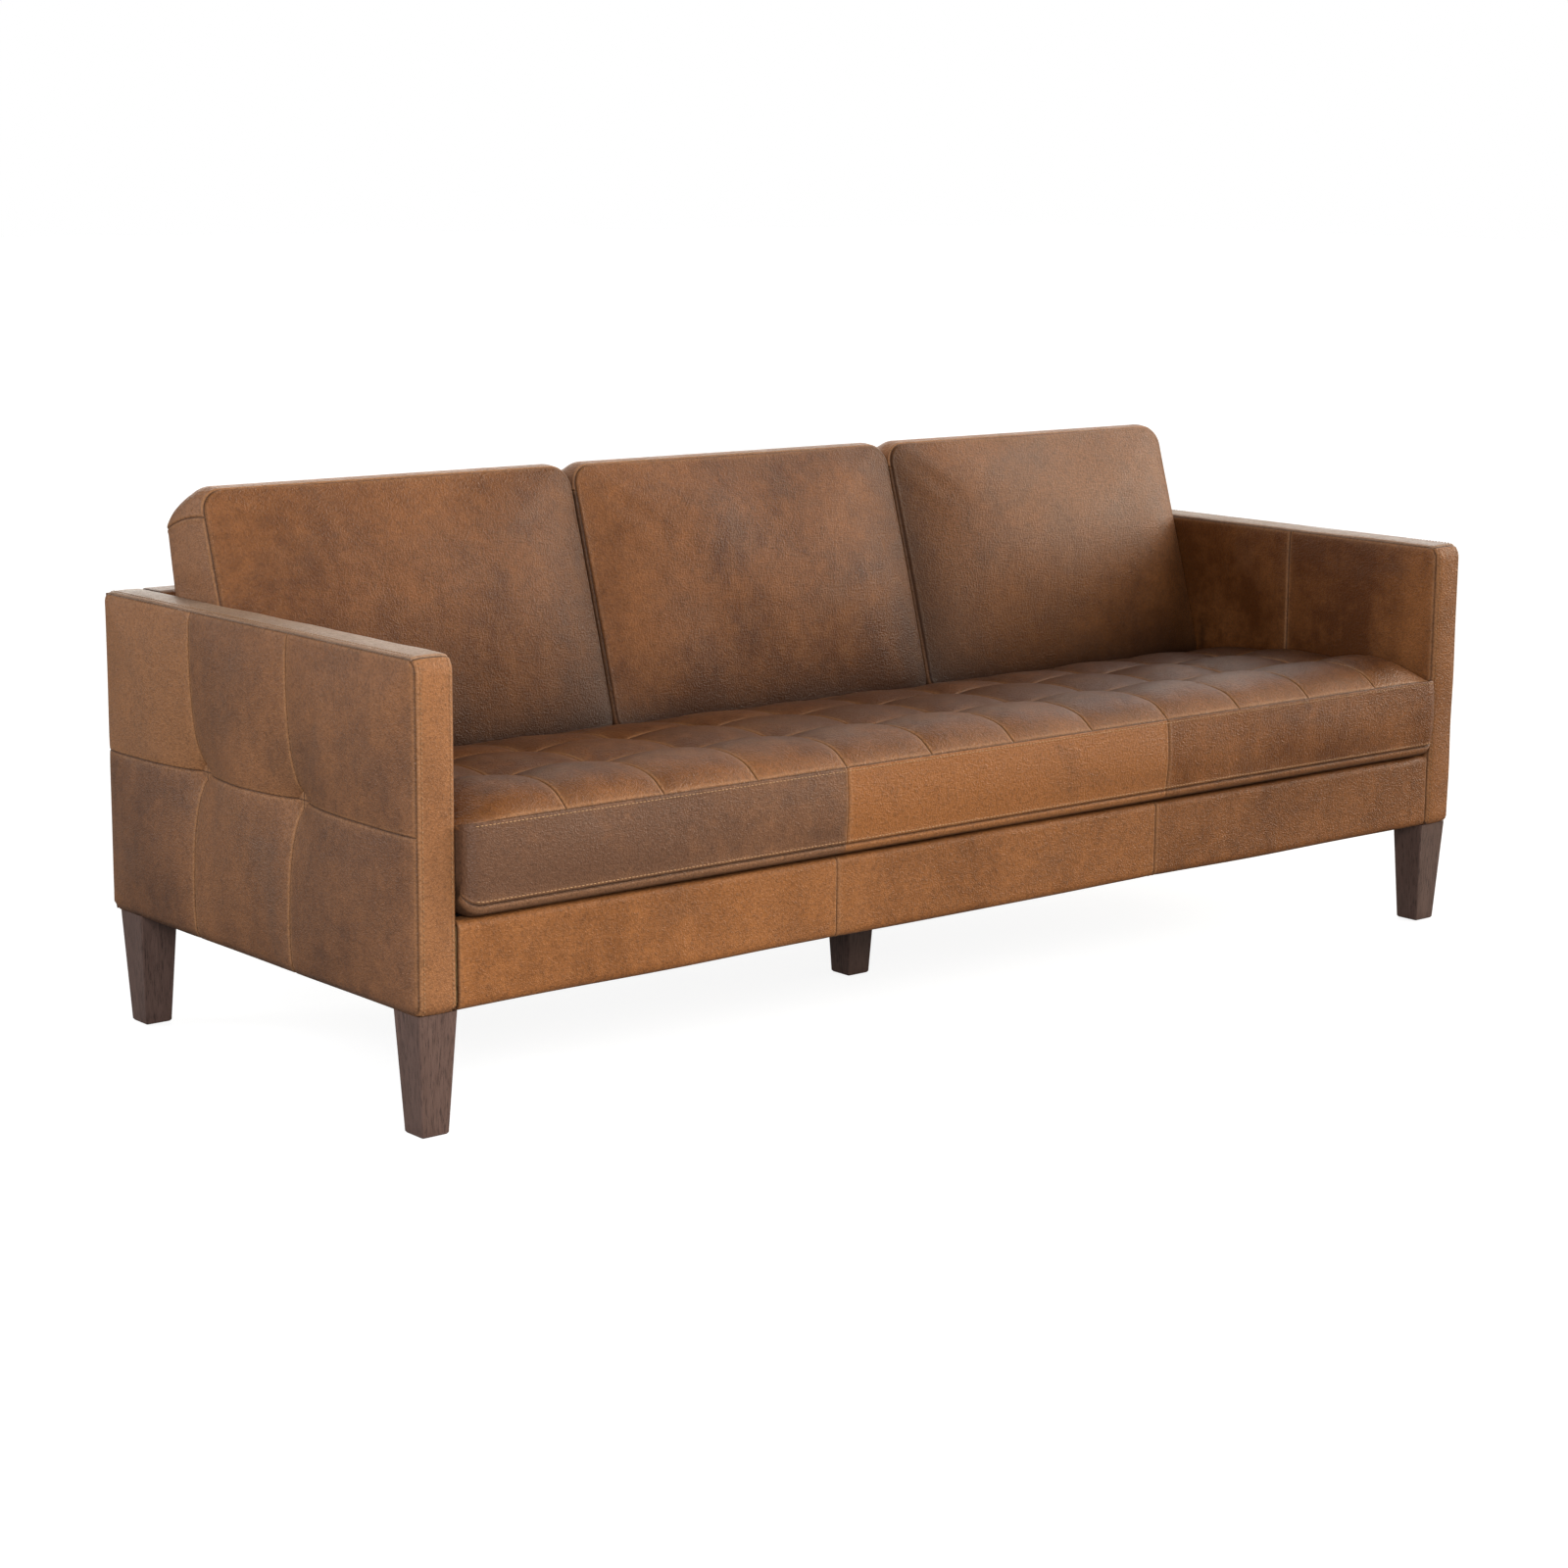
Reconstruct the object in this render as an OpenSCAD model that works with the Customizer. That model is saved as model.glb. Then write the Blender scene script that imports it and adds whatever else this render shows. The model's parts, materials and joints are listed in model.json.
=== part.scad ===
// Three-place leather sofa with a tufted bench seat, three back cushions and tapered wooden legs.
// Millimetres. X runs along the sofa, Y from front to back, Z up.
// The origin is on the floor, under the middle of the whole sofa.

/* [Overall] */
// Width across both arms
overall_w = 2200; // [1900:10:2400]
// Depth of the arms, front to back
arm_d = 858; // [800:2:920]
// Height of the arms and of the back wall
arm_h = 676; // [640:2:720]
// Height of the top of the back cushions
back_h = 845; // [820:1:900]
// Clearance under the body, which the legs fill
base_h = 179; // [120:1:220]

/* [Arms and back wall] */
// Thickness of each arm
arm_w = 67; // [67:1:110]
// Thickness of the back wall
wall_w = 69; // [69:1:110]
// Radius of the arm's top corners, seen from the side
arm_r = 22; // [14:1:40]
// Radius of the arm's bottom corners, seen from the side
arm_foot_r = 12; // [11:1:20]

/* [Seat] */
// How far the seat cushion stands proud of the arms
seat_proud = 18; // [0:1:40]
// Height of the seat deck
deck_h = 305; // [290:1:320]
// Height of the stitched edge at the front of the seat
seat_edge_h = 445; // [420:1:470]
// Height of the seat's crown
seat_crown_h = 484; // [460:1:510]
// Height of the seat where it meets the back cushions
seat_rear_h = 416; // [390:1:440]
// Depth of the open part of the seat
seat_d = 567; // [500:1:620]

/* [Back cushions] */
// Gap between neighbouring back cushions
cushion_gap = 3; // [2:0.5:8]
// Radius of the cushions' top corners, seen from the front
cushion_r = 40; // [20:1:60]
// Rake of the cushions' front face from the vertical, in degrees
rake = 16.9; // [12:0.1:20]

/* [Legs] */
// Side of the leg's square top
leg_top_w = 64; // [56:1:66]
// Side of the leg's square foot
leg_foot_w = 45; // [35:1:56]
// Inset of the front legs' outer faces from the arm's front
leg_front_inset = 6; // [4:1:20]
// Inset of the rear legs' outer faces from the back
leg_rear_inset = 21; // [12:1:30]
// Inset of the legs' outer faces from the sofa's sides
leg_side_inset = 5; // [3:1:7]
// Distance of the centre leg in front of the middle
centre_leg_fwd = 57; // [0:1:120]

/* [Layers] */
// Thickness of the leather and of the underside cloth
leather = 2; // [1.5:0.5:2.5]
// Thickness of the foam under the leather of the edges and the rails
pad = 10; // [8:1:12]
// Thickness of the foam on the arms' outer faces, deep enough for the tufting
arm_pad = 24; // [16:1:26]
// Thickness of the foam on the arms' inner faces
arm_in_pad = 8; // [6:1:12]
// Thickness of the frame boards
board = 3; // [3:1:4]
// Thickness of the solid wood rails
rail_w = 36; // [32:1:40]
// Height of the arm and back rails
rail_h = 60; // [50:1:70]

/* [Springs] */
// Number of zigzag springs under the seat
springs = 12; // [8:1:14]
// Thickness of the spring wire
wire_d = 3.5; // [3:0.1:4]
// Width of the zigzag
spring_w = 50; // [40:1:60]
// Number of bends in one spring
bends = 20; // [16:2:24]

/* [Hidden] */
$fn = 48;

HIDE = "sienna";
HIDE_DARK = "saddlebrown";
TIMBER = "burlywood";
LEG_WOOD = "#4a3028";
FOAM = "khaki";
STEEL = "silver";
CLOTH = "dimgray";

// Planes of the body, front to back
total_d = arm_d + seat_proud;
y_seat = -total_d / 2;
y_front = y_seat + seat_proud;
y_back = total_d / 2;
y_hide_back = y_back - leather;
y_wall = y_back - wall_w;

// Planes across and up
half_w = overall_w / 2;
half_in = half_w - arm_w;
z_frame = base_h + leather;
z_deck = deck_h - leather;
z_rail = z_deck - 6;

// Timber inside the seat box, the arms and the back wall
y_rail = y_front + leather + pad;
y_box = y_rail + rail_w;
y_box_rear = y_wall - rail_w;
half_box = half_in - rail_w;
post_d = 60;
arm_rail_h = 90;
arm_core_w = arm_w - 2 * leather - arm_pad - arm_in_pad - 2 * board;
frame_inset = pad;
y_core_front = y_front + frame_inset;
y_core_rear = y_hide_back - frame_inset;
z_core_top = arm_h - frame_inset;
wall_in_pad = 10;
strap_t = 3;
y_wall_frame = y_wall + leather + wall_in_pad + strap_t;
y_wall_board = y_hide_back - (frame_inset - leather) - board;
stile_w = 40;

// Fasteners
bolt_r = 4;
bolt_head_r = 8;
bolt_head_t = 6;
nut_r = 7.5;
nut_t = 7;
bolt_z = z_frame + 45;
screw_r = 2;
screw_head_r = 4;
screw_head_t = 3;
block_leg = 90;
block_z = z_frame + 19;
block_h = 80;
screw_bite = 25;

// Legs and what holds them
leg_x = half_w - leg_side_inset - leg_top_w / 2;
leg_front_y = y_front + leg_front_inset + leg_top_w / 2;
leg_rear_y = y_back - leg_rear_inset - leg_top_w / 2;
leg_sites = [
    [-leg_x, leg_front_y], [leg_x, leg_front_y],
    [-leg_x, leg_rear_y], [leg_x, leg_rear_y],
    [0, -centre_leg_fwd]
];
leg_bolt_down = 40;
leg_bolt_up = 30;
tee_r = 5;
tee_flange_r = 7.5;
tee_flange_t = 1.5;
tee_h = 13;
glide_r = 14;
glide_t = 2;
glide_pin_r = 1.5;
glide_pin_h = 12;

// Seat cushion and back cushions
seat_half = half_in - 3;
seat_lip_d = 81;
seat_crown_y = y_seat + seat_lip_d;
seat_edge_low = 17;
y_crease = y_seat + seat_d;
cushion_w = (2 * seat_half - 2 * cushion_gap) / 3;
cushion_pitch = cushion_w + cushion_gap;
cushion_low = seat_rear_h + 2;
cushion_rear = y_wall - 3;
cushion_bulge = 40;
cushion_top_r = 60;
cushion_edge_r = 14;

// Points of an arc about [y, z], from one angle to another
function arc(y, z, r, from, to, n = 12) =
    [for (i = [0 : n]) let (a = from + (to - from) * i / n) [y + r * cos(a), z + r * sin(a)]];

// Height of the seat's top: a round front edge, then a long fall to the back cushions
function seat_z(y) = y < seat_crown_y
    ? seat_edge_h + (seat_crown_h - seat_edge_h)
        * sqrt(max(0, 1 - pow((seat_crown_y - y) / seat_lip_d, 2)))
    : y < y_crease
        ? seat_crown_h - (seat_crown_h - seat_rear_h - 4)
            * pow((y - seat_crown_y) / (y_crease - seat_crown_y), 2)
        : seat_rear_h;

// Outline of the seat in Y and Z, drawn in by d on every side
function seat_outline(d) = concat(
    [[y_seat + seat_proud + d, deck_h + d], [y_seat + d, deck_h + seat_edge_low + d]],
    [for (i = [0 : 8]) let (y = y_seat + seat_lip_d * (1 - cos(i * 90 / 8)))
        [y + d * (1 - i / 8), seat_z(y) - d]],
    [for (i = [1 : 12]) let (y = seat_crown_y + (y_crease - seat_crown_y) * i / 12) [y, seat_z(y) - d]],
    [[y_crease + 20, seat_rear_h - d], [y_wall - 4 - d, seat_rear_h - d], [y_wall - 4 - d, deck_h + d]]
);

// Outline of a back cushion in Y and Z, drawn in by d on every side
function cushion_outline(d) =
    let (edge_y = y_crease + (back_h - cushion_edge_r - cushion_low) * tan(rake) + cushion_edge_r)
    let (bulge_y = cushion_rear + cushion_bulge)
    concat(
        [[y_crease + d + 1, cushion_low + d]],
        arc(edge_y, back_h - cushion_edge_r, cushion_edge_r - d, 180 - rake, 90, 6),
        arc(bulge_y - cushion_top_r, back_h - cushion_top_r, cushion_top_r - d, 90, 0),
        [[bulge_y - 6 - d, arm_h + 22], [bulge_y - 18 - d, arm_h + 1 + d]],
        [[cushion_rear - d, arm_h + 1 + d], [cushion_rear - d, cushion_low + d]]
    );

// A flat shape in Y and Z, made solid from x0 to x1
module along_x(x0, x1) {
    translate([x0, 0, 0]) rotate([90, 0, 90]) linear_extrude(x1 - x0) children();
}

// A flat shape in X and Z, made solid from y0 to y1
module along_y(y0, y1) {
    translate([0, y1, 0]) rotate([90, 0, 0]) linear_extrude(y1 - y0) children();
}

// A box from its low corner to its high corner
module block(low, high) {
    translate(low) cube(high - low);
}

// The same piece on the left or on the right; side is -1 or 1
module on_side(side) {
    mirror([side > 0 ? 1 : 0, 0, 0]) children();
}

// A rectangle with one radius at its lower corners and another at its upper ones
module round_rect(x0, x1, y0, y1, low_r, top_r) {
    for (x = [x0 + top_r, x1 - top_r]) translate([x, y1 - top_r]) circle(top_r);
    for (x = [x0 + low_r, x1 - low_r]) translate([x, y0 + low_r]) circle(low_r);
    translate([x0, y0 + low_r]) square([x1 - x0, y1 - y0 - low_r - top_r]);
    translate([x0 + top_r, y0 + low_r]) square([x1 - x0 - 2 * top_r, y1 - y0 - low_r]);
    translate([x0 + low_r, y0]) square([x1 - x0 - 2 * low_r, y1 - y0 - top_r]);
}

// Side view of an arm, drawn in by d from its front, top and back
module arm_profile(d, bottom = z_frame) {
    round_rect(y_front + d, y_hide_back - d, bottom, arm_h - d, arm_foot_r - d, arm_r - d);
}

// A slice of the left arm between two distances from its outer face
module arm_slice(a0, a1, d, bottom = z_frame) {
    along_x(a0 - half_w, a1 - half_w) arm_profile(d, bottom);
}

// The arm's timber thickness within a range of depth and height, holes taken out
module arm_timber(y0, y1, z0, z1) {
    a0 = leather + arm_pad + board;
    difference() {
        intersection() {
            arm_slice(a0, a0 + arm_core_w, frame_inset);
            block([-half_w, y0, z0], [0, y1, z1]);
        }
        arm_bolt_holes();
        leg_bolt_holes();
    }
}

// Bolts that tie the seat box to the arms, and to the back wall
arm_bolt_sites = [-300, 0, 300];
wall_bolt_sites = [-800, -300, 300, 800];
x_bolt_end = half_w - leather - arm_pad - board;

// Places its children on each arm bolt's axis, with +Z pointing out through the arm
module at_arm_bolts(side) {
    for (y = arm_bolt_sites)
        translate([side * half_box, y, bolt_z]) rotate([0, side * 90, 0]) children();
}

// Places its children on each wall bolt's axis, with +Z pointing to the back
module at_wall_bolts() {
    for (x = wall_bolt_sites)
        translate([x, y_box_rear, bolt_z]) rotate([-90, 0, 0]) children();
}

arm_bolt_l = x_bolt_end - half_box;
wall_bolt_l = y_wall_board - y_box_rear;

module bolt_hole(length) {
    cylinder(r = bolt_r, h = length);
    translate([0, 0, length - nut_t]) cylinder(r = bolt_head_r, h = nut_t);
}

module arm_bolt_holes() {
    for (side = [-1, 1]) at_arm_bolts(side) bolt_hole(arm_bolt_l);
}

module wall_bolt_holes() {
    at_wall_bolts() bolt_hole(wall_bolt_l);
}

module round_head_bolt(length) {
    cylinder(r = bolt_r, h = length);
    translate([0, 0, -bolt_head_t]) cylinder(r = bolt_head_r, h = bolt_head_t);
}

module hex_nut(length) {
    translate([0, 0, length - nut_t])
        difference() {
            cylinder(r = nut_r, h = nut_t, $fn = 6);
            cylinder(r = bolt_r, h = nut_t);
        }
}

// Holes in the timber above each leg: the tee nut's flange and barrel, then the bolt
module leg_bolt_holes() {
    for (site = leg_sites)
        translate([site[0], site[1], z_frame]) {
            cylinder(r = tee_flange_r, h = tee_flange_t);
            cylinder(r = tee_r, h = tee_h);
            cylinder(r = bolt_r, h = leg_bolt_up);
        }
}

// Places its children on each corner block screw's axis, starting at the block's long face
module at_corner_screws() {
    mid = block_leg / 2;
    for (side = [-1, 1], up = [20, 60]) {
        translate([side * (half_box - mid), y_box + mid, block_z + up])
            rotate([0, 0, side > 0 ? -45 : -135]) rotate([0, 90, 0]) children();
        translate([side * (half_box - mid), y_box_rear - mid, block_z + up])
            rotate([0, 0, side > 0 ? 45 : 135]) rotate([0, 90, 0]) children();
    }
}

screw_l = block_leg / sqrt(2) + screw_bite;

module corner_screw_holes() {
    at_corner_screws() cylinder(r = screw_r, h = screw_l);
}

// Seat box

module front_rail() {
    color(TIMBER) difference() {
        block([-half_in, y_rail, z_frame], [half_in, y_box, z_rail]);
        corner_screw_holes();
    }
}

module rear_seat_rail() {
    color(TIMBER) difference() {
        block([-half_in, y_box_rear, z_frame], [half_in, y_wall, z_rail]);
        corner_screw_holes();
        wall_bolt_holes();
    }
}

module seat_side_rail(side) {
    color(TIMBER) difference() {
        on_side(side) block([-half_in, y_box, z_frame], [-half_box, y_box_rear, z_rail]);
        arm_bolt_holes();
        corner_screw_holes();
    }
}

module centre_stretcher() {
    color(TIMBER) difference() {
        block([-leg_top_w / 2, y_box, z_frame], [leg_top_w / 2, y_box_rear, z_frame + 45]);
        leg_bolt_holes();
    }
}

module side_stretchers() {
    color(TIMBER) for (side = [-1, 1])
        translate([side * half_in / 2, 0, 0])
            block([-20, y_box, z_frame], [20, y_box_rear, z_frame + rail_h]);
}

module corner_blocks() {
    color(TIMBER) difference() {
        for (side = [-1, 1]) on_side(side)
            translate([-half_box, 0, block_z]) linear_extrude(block_h) {
                translate([0, y_box]) polygon([[0, 0], [block_leg, 0], [0, block_leg]]);
                translate([0, y_box_rear]) polygon([[0, 0], [0, -block_leg], [block_leg, 0]]);
            }
        corner_screw_holes();
    }
}

module corner_block_screws() {
    color(STEEL) at_corner_screws() {
        cylinder(r = screw_r, h = screw_l);
        translate([0, 0, -screw_head_t]) cylinder(r = screw_head_r, h = screw_head_t);
    }
}

module frame_bolts() {
    color(STEEL) {
        for (side = [-1, 1]) at_arm_bolts(side) round_head_bolt(arm_bolt_l);
        at_wall_bolts() round_head_bolt(wall_bolt_l);
    }
}

module frame_nuts() {
    color(STEEL) {
        for (side = [-1, 1]) at_arm_bolts(side) hex_nut(arm_bolt_l);
        at_wall_bolts() hex_nut(wall_bolt_l);
    }
}

// Arm frames: side is -1 for the left arm and 1 for the right one

module arm_front_post(side) {
    color(TIMBER) on_side(side)
        arm_timber(y_core_front, y_core_front + post_d, z_frame, z_core_top - rail_h);
}

module arm_rear_post(side) {
    color(TIMBER) on_side(side)
        arm_timber(y_core_rear - post_d, y_core_rear, z_frame, z_core_top - rail_h);
}

module arm_top_rail(side) {
    color(TIMBER) on_side(side)
        arm_timber(y_core_front, y_core_rear, z_core_top - rail_h, z_core_top);
}

module arm_bottom_rail(side) {
    color(TIMBER) on_side(side)
        arm_timber(y_core_front + post_d, y_core_rear - post_d, z_frame, z_frame + arm_rail_h);
}

module arm_boards() {
    inner = leather + arm_pad + board + arm_core_w;
    color("tan") difference() {
        for (side = [-1, 1], a = [leather + arm_pad, inner]) on_side(side)
            arm_slice(a, a + board, frame_inset);
        for (side = [-1, 1]) at_arm_bolts(side) cylinder(r = bolt_r, h = arm_bolt_l);
    }
}

// Back wall frame

module back_top_rail() {
    color(TIMBER)
        block([-half_in, y_wall_frame, z_core_top - rail_h], [half_in, y_wall_board, z_core_top]);
}

module back_bottom_rail() {
    color(TIMBER) difference() {
        block([-half_in, y_wall, z_frame], [half_in, y_wall_board, z_frame + arm_rail_h]);
        wall_bolt_holes();
    }
}

module back_stiles() {
    color(TIMBER) for (x = [-half_in, -cushion_pitch / 2, cushion_pitch / 2, half_in]) {
        low = max(-half_in, min(half_in - stile_w, x - stile_w / 2));
        block([low, y_wall_frame, z_frame + arm_rail_h],
            [low + stile_w, y_wall_board, z_core_top - rail_h]);
    }
}

module back_board() {
    color("tan")
        block([-half_in, y_wall_board, z_frame], [half_in, y_wall_board + board, z_core_top]);
}

module back_webbing() {
    color(CLOTH) for (z = [350, 440, 530, 620])
        block([-half_in, y_wall_frame - strap_t, z - 25], [half_in, y_wall_frame, z + 25]);
}

// Seat suspension

spring_front = y_box - 10;
spring_rear = y_box_rear + 10;
bend_pitch = (spring_rear - spring_front) / bends;
bend_r = bend_pitch / 2;

// Half of a flat ring, on the side of +X or, when flip is -1, of -X
module half_ring(flip) {
    intersection() {
        difference() {
            circle(bend_r + wire_d / 2);
            circle(bend_r - wire_d / 2);
        }
        translate([flip > 0 ? 0 : -2 * bend_r, -2 * bend_r]) square([2 * bend_r, 4 * bend_r]);
    }
}

// One zigzag spring of square wire: straight crossings joined by half rings
module zigzag_spring() {
    run = spring_w - 2 * bend_r;
    translate([0, 0, z_rail + 1]) linear_extrude(wire_d) {
        for (i = [0 : bends])
            translate([-run / 2, spring_front + i * bend_pitch - wire_d / 2]) square([run, wire_d]);
        for (i = [0 : bends - 1])
            translate([(i % 2 ? -1 : 1) * run / 2, spring_front + (i + 0.5) * bend_pitch])
                half_ring(i % 2 ? -1 : 1);
    }
}

spring_pitch = 2 * half_in / springs;
spring_xs = [for (i = [0 : springs - 1]) (i + 0.5 - springs / 2) * spring_pitch];

module seat_springs() {
    color(STEEL) for (x = spring_xs) translate([x, 0, 0]) zigzag_spring();
}

// A folded clip that holds the last crossing of a spring on its rail
module spring_clip() {
    t = 1;
    along_x(-8, 8) {
        translate([-6, z_rail]) square([12, t]);
        translate([-6, z_rail + t + wire_d]) square([12, t]);
        translate([-6, z_rail]) square([t, wire_d + 2 * t]);
    }
}

module spring_clips() {
    color(STEEL) for (x = spring_xs) {
        translate([x, spring_front, 0]) spring_clip();
        translate([x, spring_rear, 0]) mirror([0, 1, 0]) spring_clip();
    }
}

module seat_deck() {
    color(CLOTH) block([-half_in, y_rail + 20, z_deck], [half_in, y_wall, deck_h]);
}

// Padding

module arm_foam(side) {
    color(FOAM) difference() {
        on_side(side) difference() {
            arm_slice(leather, arm_w - leather, leather);
            arm_slice(leather + arm_pad, arm_w - leather - arm_in_pad, frame_inset, z_frame - 1);
            block([leather + arm_pad - half_w, y_core_front, z_frame - 1],
                [arm_w - leather - arm_in_pad - half_w, y_core_rear, z_frame + arm_foot_r]);
        }
        at_arm_bolts(side) cylinder(r = bolt_r, h = arm_bolt_l);
    }
}

module back_wall_foam() {
    color(FOAM) along_x(-half_in, half_in) {
        translate([y_wall_board + board, z_frame])
            square([y_hide_back - y_wall_board - board, arm_h - leather - z_frame]);
        translate([y_wall + leather, z_core_top])
            square([y_hide_back - y_wall - leather, frame_inset - leather]);
        translate([y_wall + leather, deck_h])
            square([wall_in_pad, arm_h - leather - deck_h]);
    }
}

module front_rail_foam() {
    color(FOAM) along_x(-half_in, half_in) {
        translate([y_front + leather, z_frame]) square([pad, z_deck - z_frame]);
        translate([y_front + leather, z_rail]) square([pad + 20, z_deck - z_rail]);
    }
}

// Leather

module arm_outer_panel(side) {
    color(HIDE_DARK) on_side(side) arm_slice(0, leather, 0, base_h);
}

module arm_inner_panel(side) {
    color(HIDE_DARK) difference() {
        on_side(side) arm_slice(arm_w - leather, arm_w, 0);
        at_arm_bolts(side) cylinder(r = bolt_r, h = arm_bolt_l);
    }
}

// The strip of leather round the arm's edge, within a range of depth and height
module arm_band(side, y1, z0, z1) {
    color(HIDE) on_side(side) intersection() {
        difference() {
            arm_slice(leather, arm_w - leather, 0, base_h);
            arm_slice(0, arm_w, leather);
        }
        block([-half_w, y_front, z0], [0, y1, z1]);
    }
}

module arm_front_band(side) {
    arm_band(side, y_front + arm_r, base_h, arm_h - arm_r);
}

module arm_top_band(side) {
    arm_band(side, y_back, arm_h - arm_r, arm_h);
}

module front_rail_cover() {
    color(HIDE) along_x(-half_in, half_in) {
        translate([y_front, base_h]) square([leather, deck_h - base_h]);
        translate([y_front, base_h]) square([arm_r, leather]);
        translate([y_front, z_deck]) square([leather + pad + 20, leather]);
    }
}

module back_wall_cover() {
    color(HIDE) along_x(-half_in, half_in) {
        translate([y_wall, deck_h]) square([leather, arm_h - deck_h]);
        translate([y_wall, arm_h - leather]) square([y_hide_back - y_wall, leather]);
    }
}

module outside_back_cover() {
    color(HIDE_DARK) along_y(y_hide_back, y_back)
        round_rect(-half_w, half_w, base_h, arm_h, arm_foot_r, arm_foot_r);
}

// Cloth under the body, inside the leather that turns under
module dust_cover() {
    color(CLOTH) difference() {
        block([leather - half_w, y_front + arm_r, base_h], [half_w - leather, y_hide_back, z_frame]);
        for (site = leg_sites) translate([site[0], site[1], base_h]) cylinder(r = bolt_r, h = leather);
    }
}

// Seat cushion and back cushions

module seat_solid(d) {
    along_x(d - seat_half, seat_half - d) polygon(seat_outline(d));
}

module seat_foam() {
    color(FOAM) seat_solid(leather);
}

module seat_cover() {
    color(HIDE) difference() {
        seat_solid(0);
        seat_solid(leather);
    }
}

// A back cushion drawn in by d; place is -1, 0 or 1
module cushion_solid(place, d) {
    half = cushion_w / 2 - d;
    translate([place * cushion_pitch, 0, 0]) intersection() {
        along_x(-half, half) polygon(cushion_outline(d));
        along_y(y_crease - 10, y_back)
            round_rect(-half, half, cushion_low - 10, back_h - d, 1, cushion_r - d);
    }
}

module back_foam(place) {
    color(FOAM) cushion_solid(place, leather);
}

module back_cover(place) {
    color(HIDE_DARK) difference() {
        cushion_solid(place, 0);
        cushion_solid(place, leather);
    }
}

// Legs

// Side view of a leg, from the top of its glide to the body
module leg_profile() {
    low = leg_foot_w / 2;
    top = leg_top_w / 2;
    polygon([[-low, glide_t], [low, glide_t], [top, base_h], [-top, base_h]]);
}

module leg(i) {
    color(LEG_WOOD) translate([leg_sites[i][0], leg_sites[i][1], 0]) difference() {
        intersection() {
            along_x(-leg_top_w, leg_top_w) leg_profile();
            along_y(-leg_top_w, leg_top_w) leg_profile();
        }
        translate([0, 0, base_h - leg_bolt_down]) cylinder(r = bolt_r, h = leg_bolt_down);
        translate([0, 0, glide_t]) cylinder(r = glide_pin_r, h = glide_pin_h);
    }
}

module leg_bolts() {
    color(STEEL) for (site = leg_sites)
        translate([site[0], site[1], base_h - leg_bolt_down])
            cylinder(r = bolt_r, h = leg_bolt_down + leather + leg_bolt_up);
}

module leg_tee_nuts() {
    color(STEEL) for (site = leg_sites)
        translate([site[0], site[1], z_frame]) difference() {
            union() {
                cylinder(r = tee_flange_r, h = tee_flange_t);
                cylinder(r = tee_r, h = tee_h);
            }
            cylinder(r = bolt_r, h = tee_h);
        }
}

module leg_glides() {
    color("black") for (site = leg_sites)
        translate([site[0], site[1], 0]) {
            cylinder(r = glide_r, h = glide_t);
            translate([0, 0, glide_t]) cylinder(r = glide_pin_r, h = glide_pin_h);
        }
}

front_rail();
rear_seat_rail();
seat_side_rail(-1);  // left_seat_side_rail
seat_side_rail(1);  // right_seat_side_rail
centre_stretcher();
side_stretchers();
corner_blocks();
corner_block_screws();
arm_front_post(-1);  // left_arm_front_post
arm_rear_post(-1);  // left_arm_rear_post
arm_top_rail(-1);  // left_arm_top_rail
arm_bottom_rail(-1);  // left_arm_bottom_rail
arm_front_post(1);  // right_arm_front_post
arm_rear_post(1);  // right_arm_rear_post
arm_top_rail(1);  // right_arm_top_rail
arm_bottom_rail(1);  // right_arm_bottom_rail
arm_boards();
back_top_rail();
back_bottom_rail();
back_stiles();
back_board();
back_webbing();
frame_bolts();
frame_nuts();
seat_springs();
spring_clips();
seat_deck();
arm_foam(-1);  // left_arm_foam
arm_foam(1);  // right_arm_foam
back_wall_foam();
front_rail_foam();
arm_outer_panel(-1);  // left_arm_outer_panel
arm_inner_panel(-1);  // left_arm_inner_panel
arm_front_band(-1);  // left_arm_front_band
arm_top_band(-1);  // left_arm_top_band
arm_outer_panel(1);  // right_arm_outer_panel
arm_inner_panel(1);  // right_arm_inner_panel
arm_front_band(1);  // right_arm_front_band
arm_top_band(1);  // right_arm_top_band
front_rail_cover();
back_wall_cover();
outside_back_cover();
dust_cover();
seat_foam();
seat_cover();
back_foam(-1);  // left_back_foam
back_foam(0);  // centre_back_foam
back_foam(1);  // right_back_foam
back_cover(-1);  // left_back_cover
back_cover(0);  // centre_back_cover
back_cover(1);  // right_back_cover
leg(0);  // left_front_leg
leg(1);  // right_front_leg
leg(2);  // left_rear_leg
leg(3);  // right_rear_leg
leg(4);  // centre_leg
leg_bolts();
leg_tee_nuts();
leg_glides();
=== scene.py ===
"""Looks of the leather sofa: tufted bench seat, boxed back cushions, quilted arm sides and tapered legs.

Every leather piece is a fine grid shaped by a few formulas: a base form, puffs between the seams, pulls at
the tufts and a groove along each seam. The stuffed pieces are first swelled by cloth simulation on a coarse
copy of the same form, and the fine grid takes over that movement.
"""

import functools
import json
import math

import bpy
import numpy as np
from mathutils import Matrix, Vector


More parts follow.
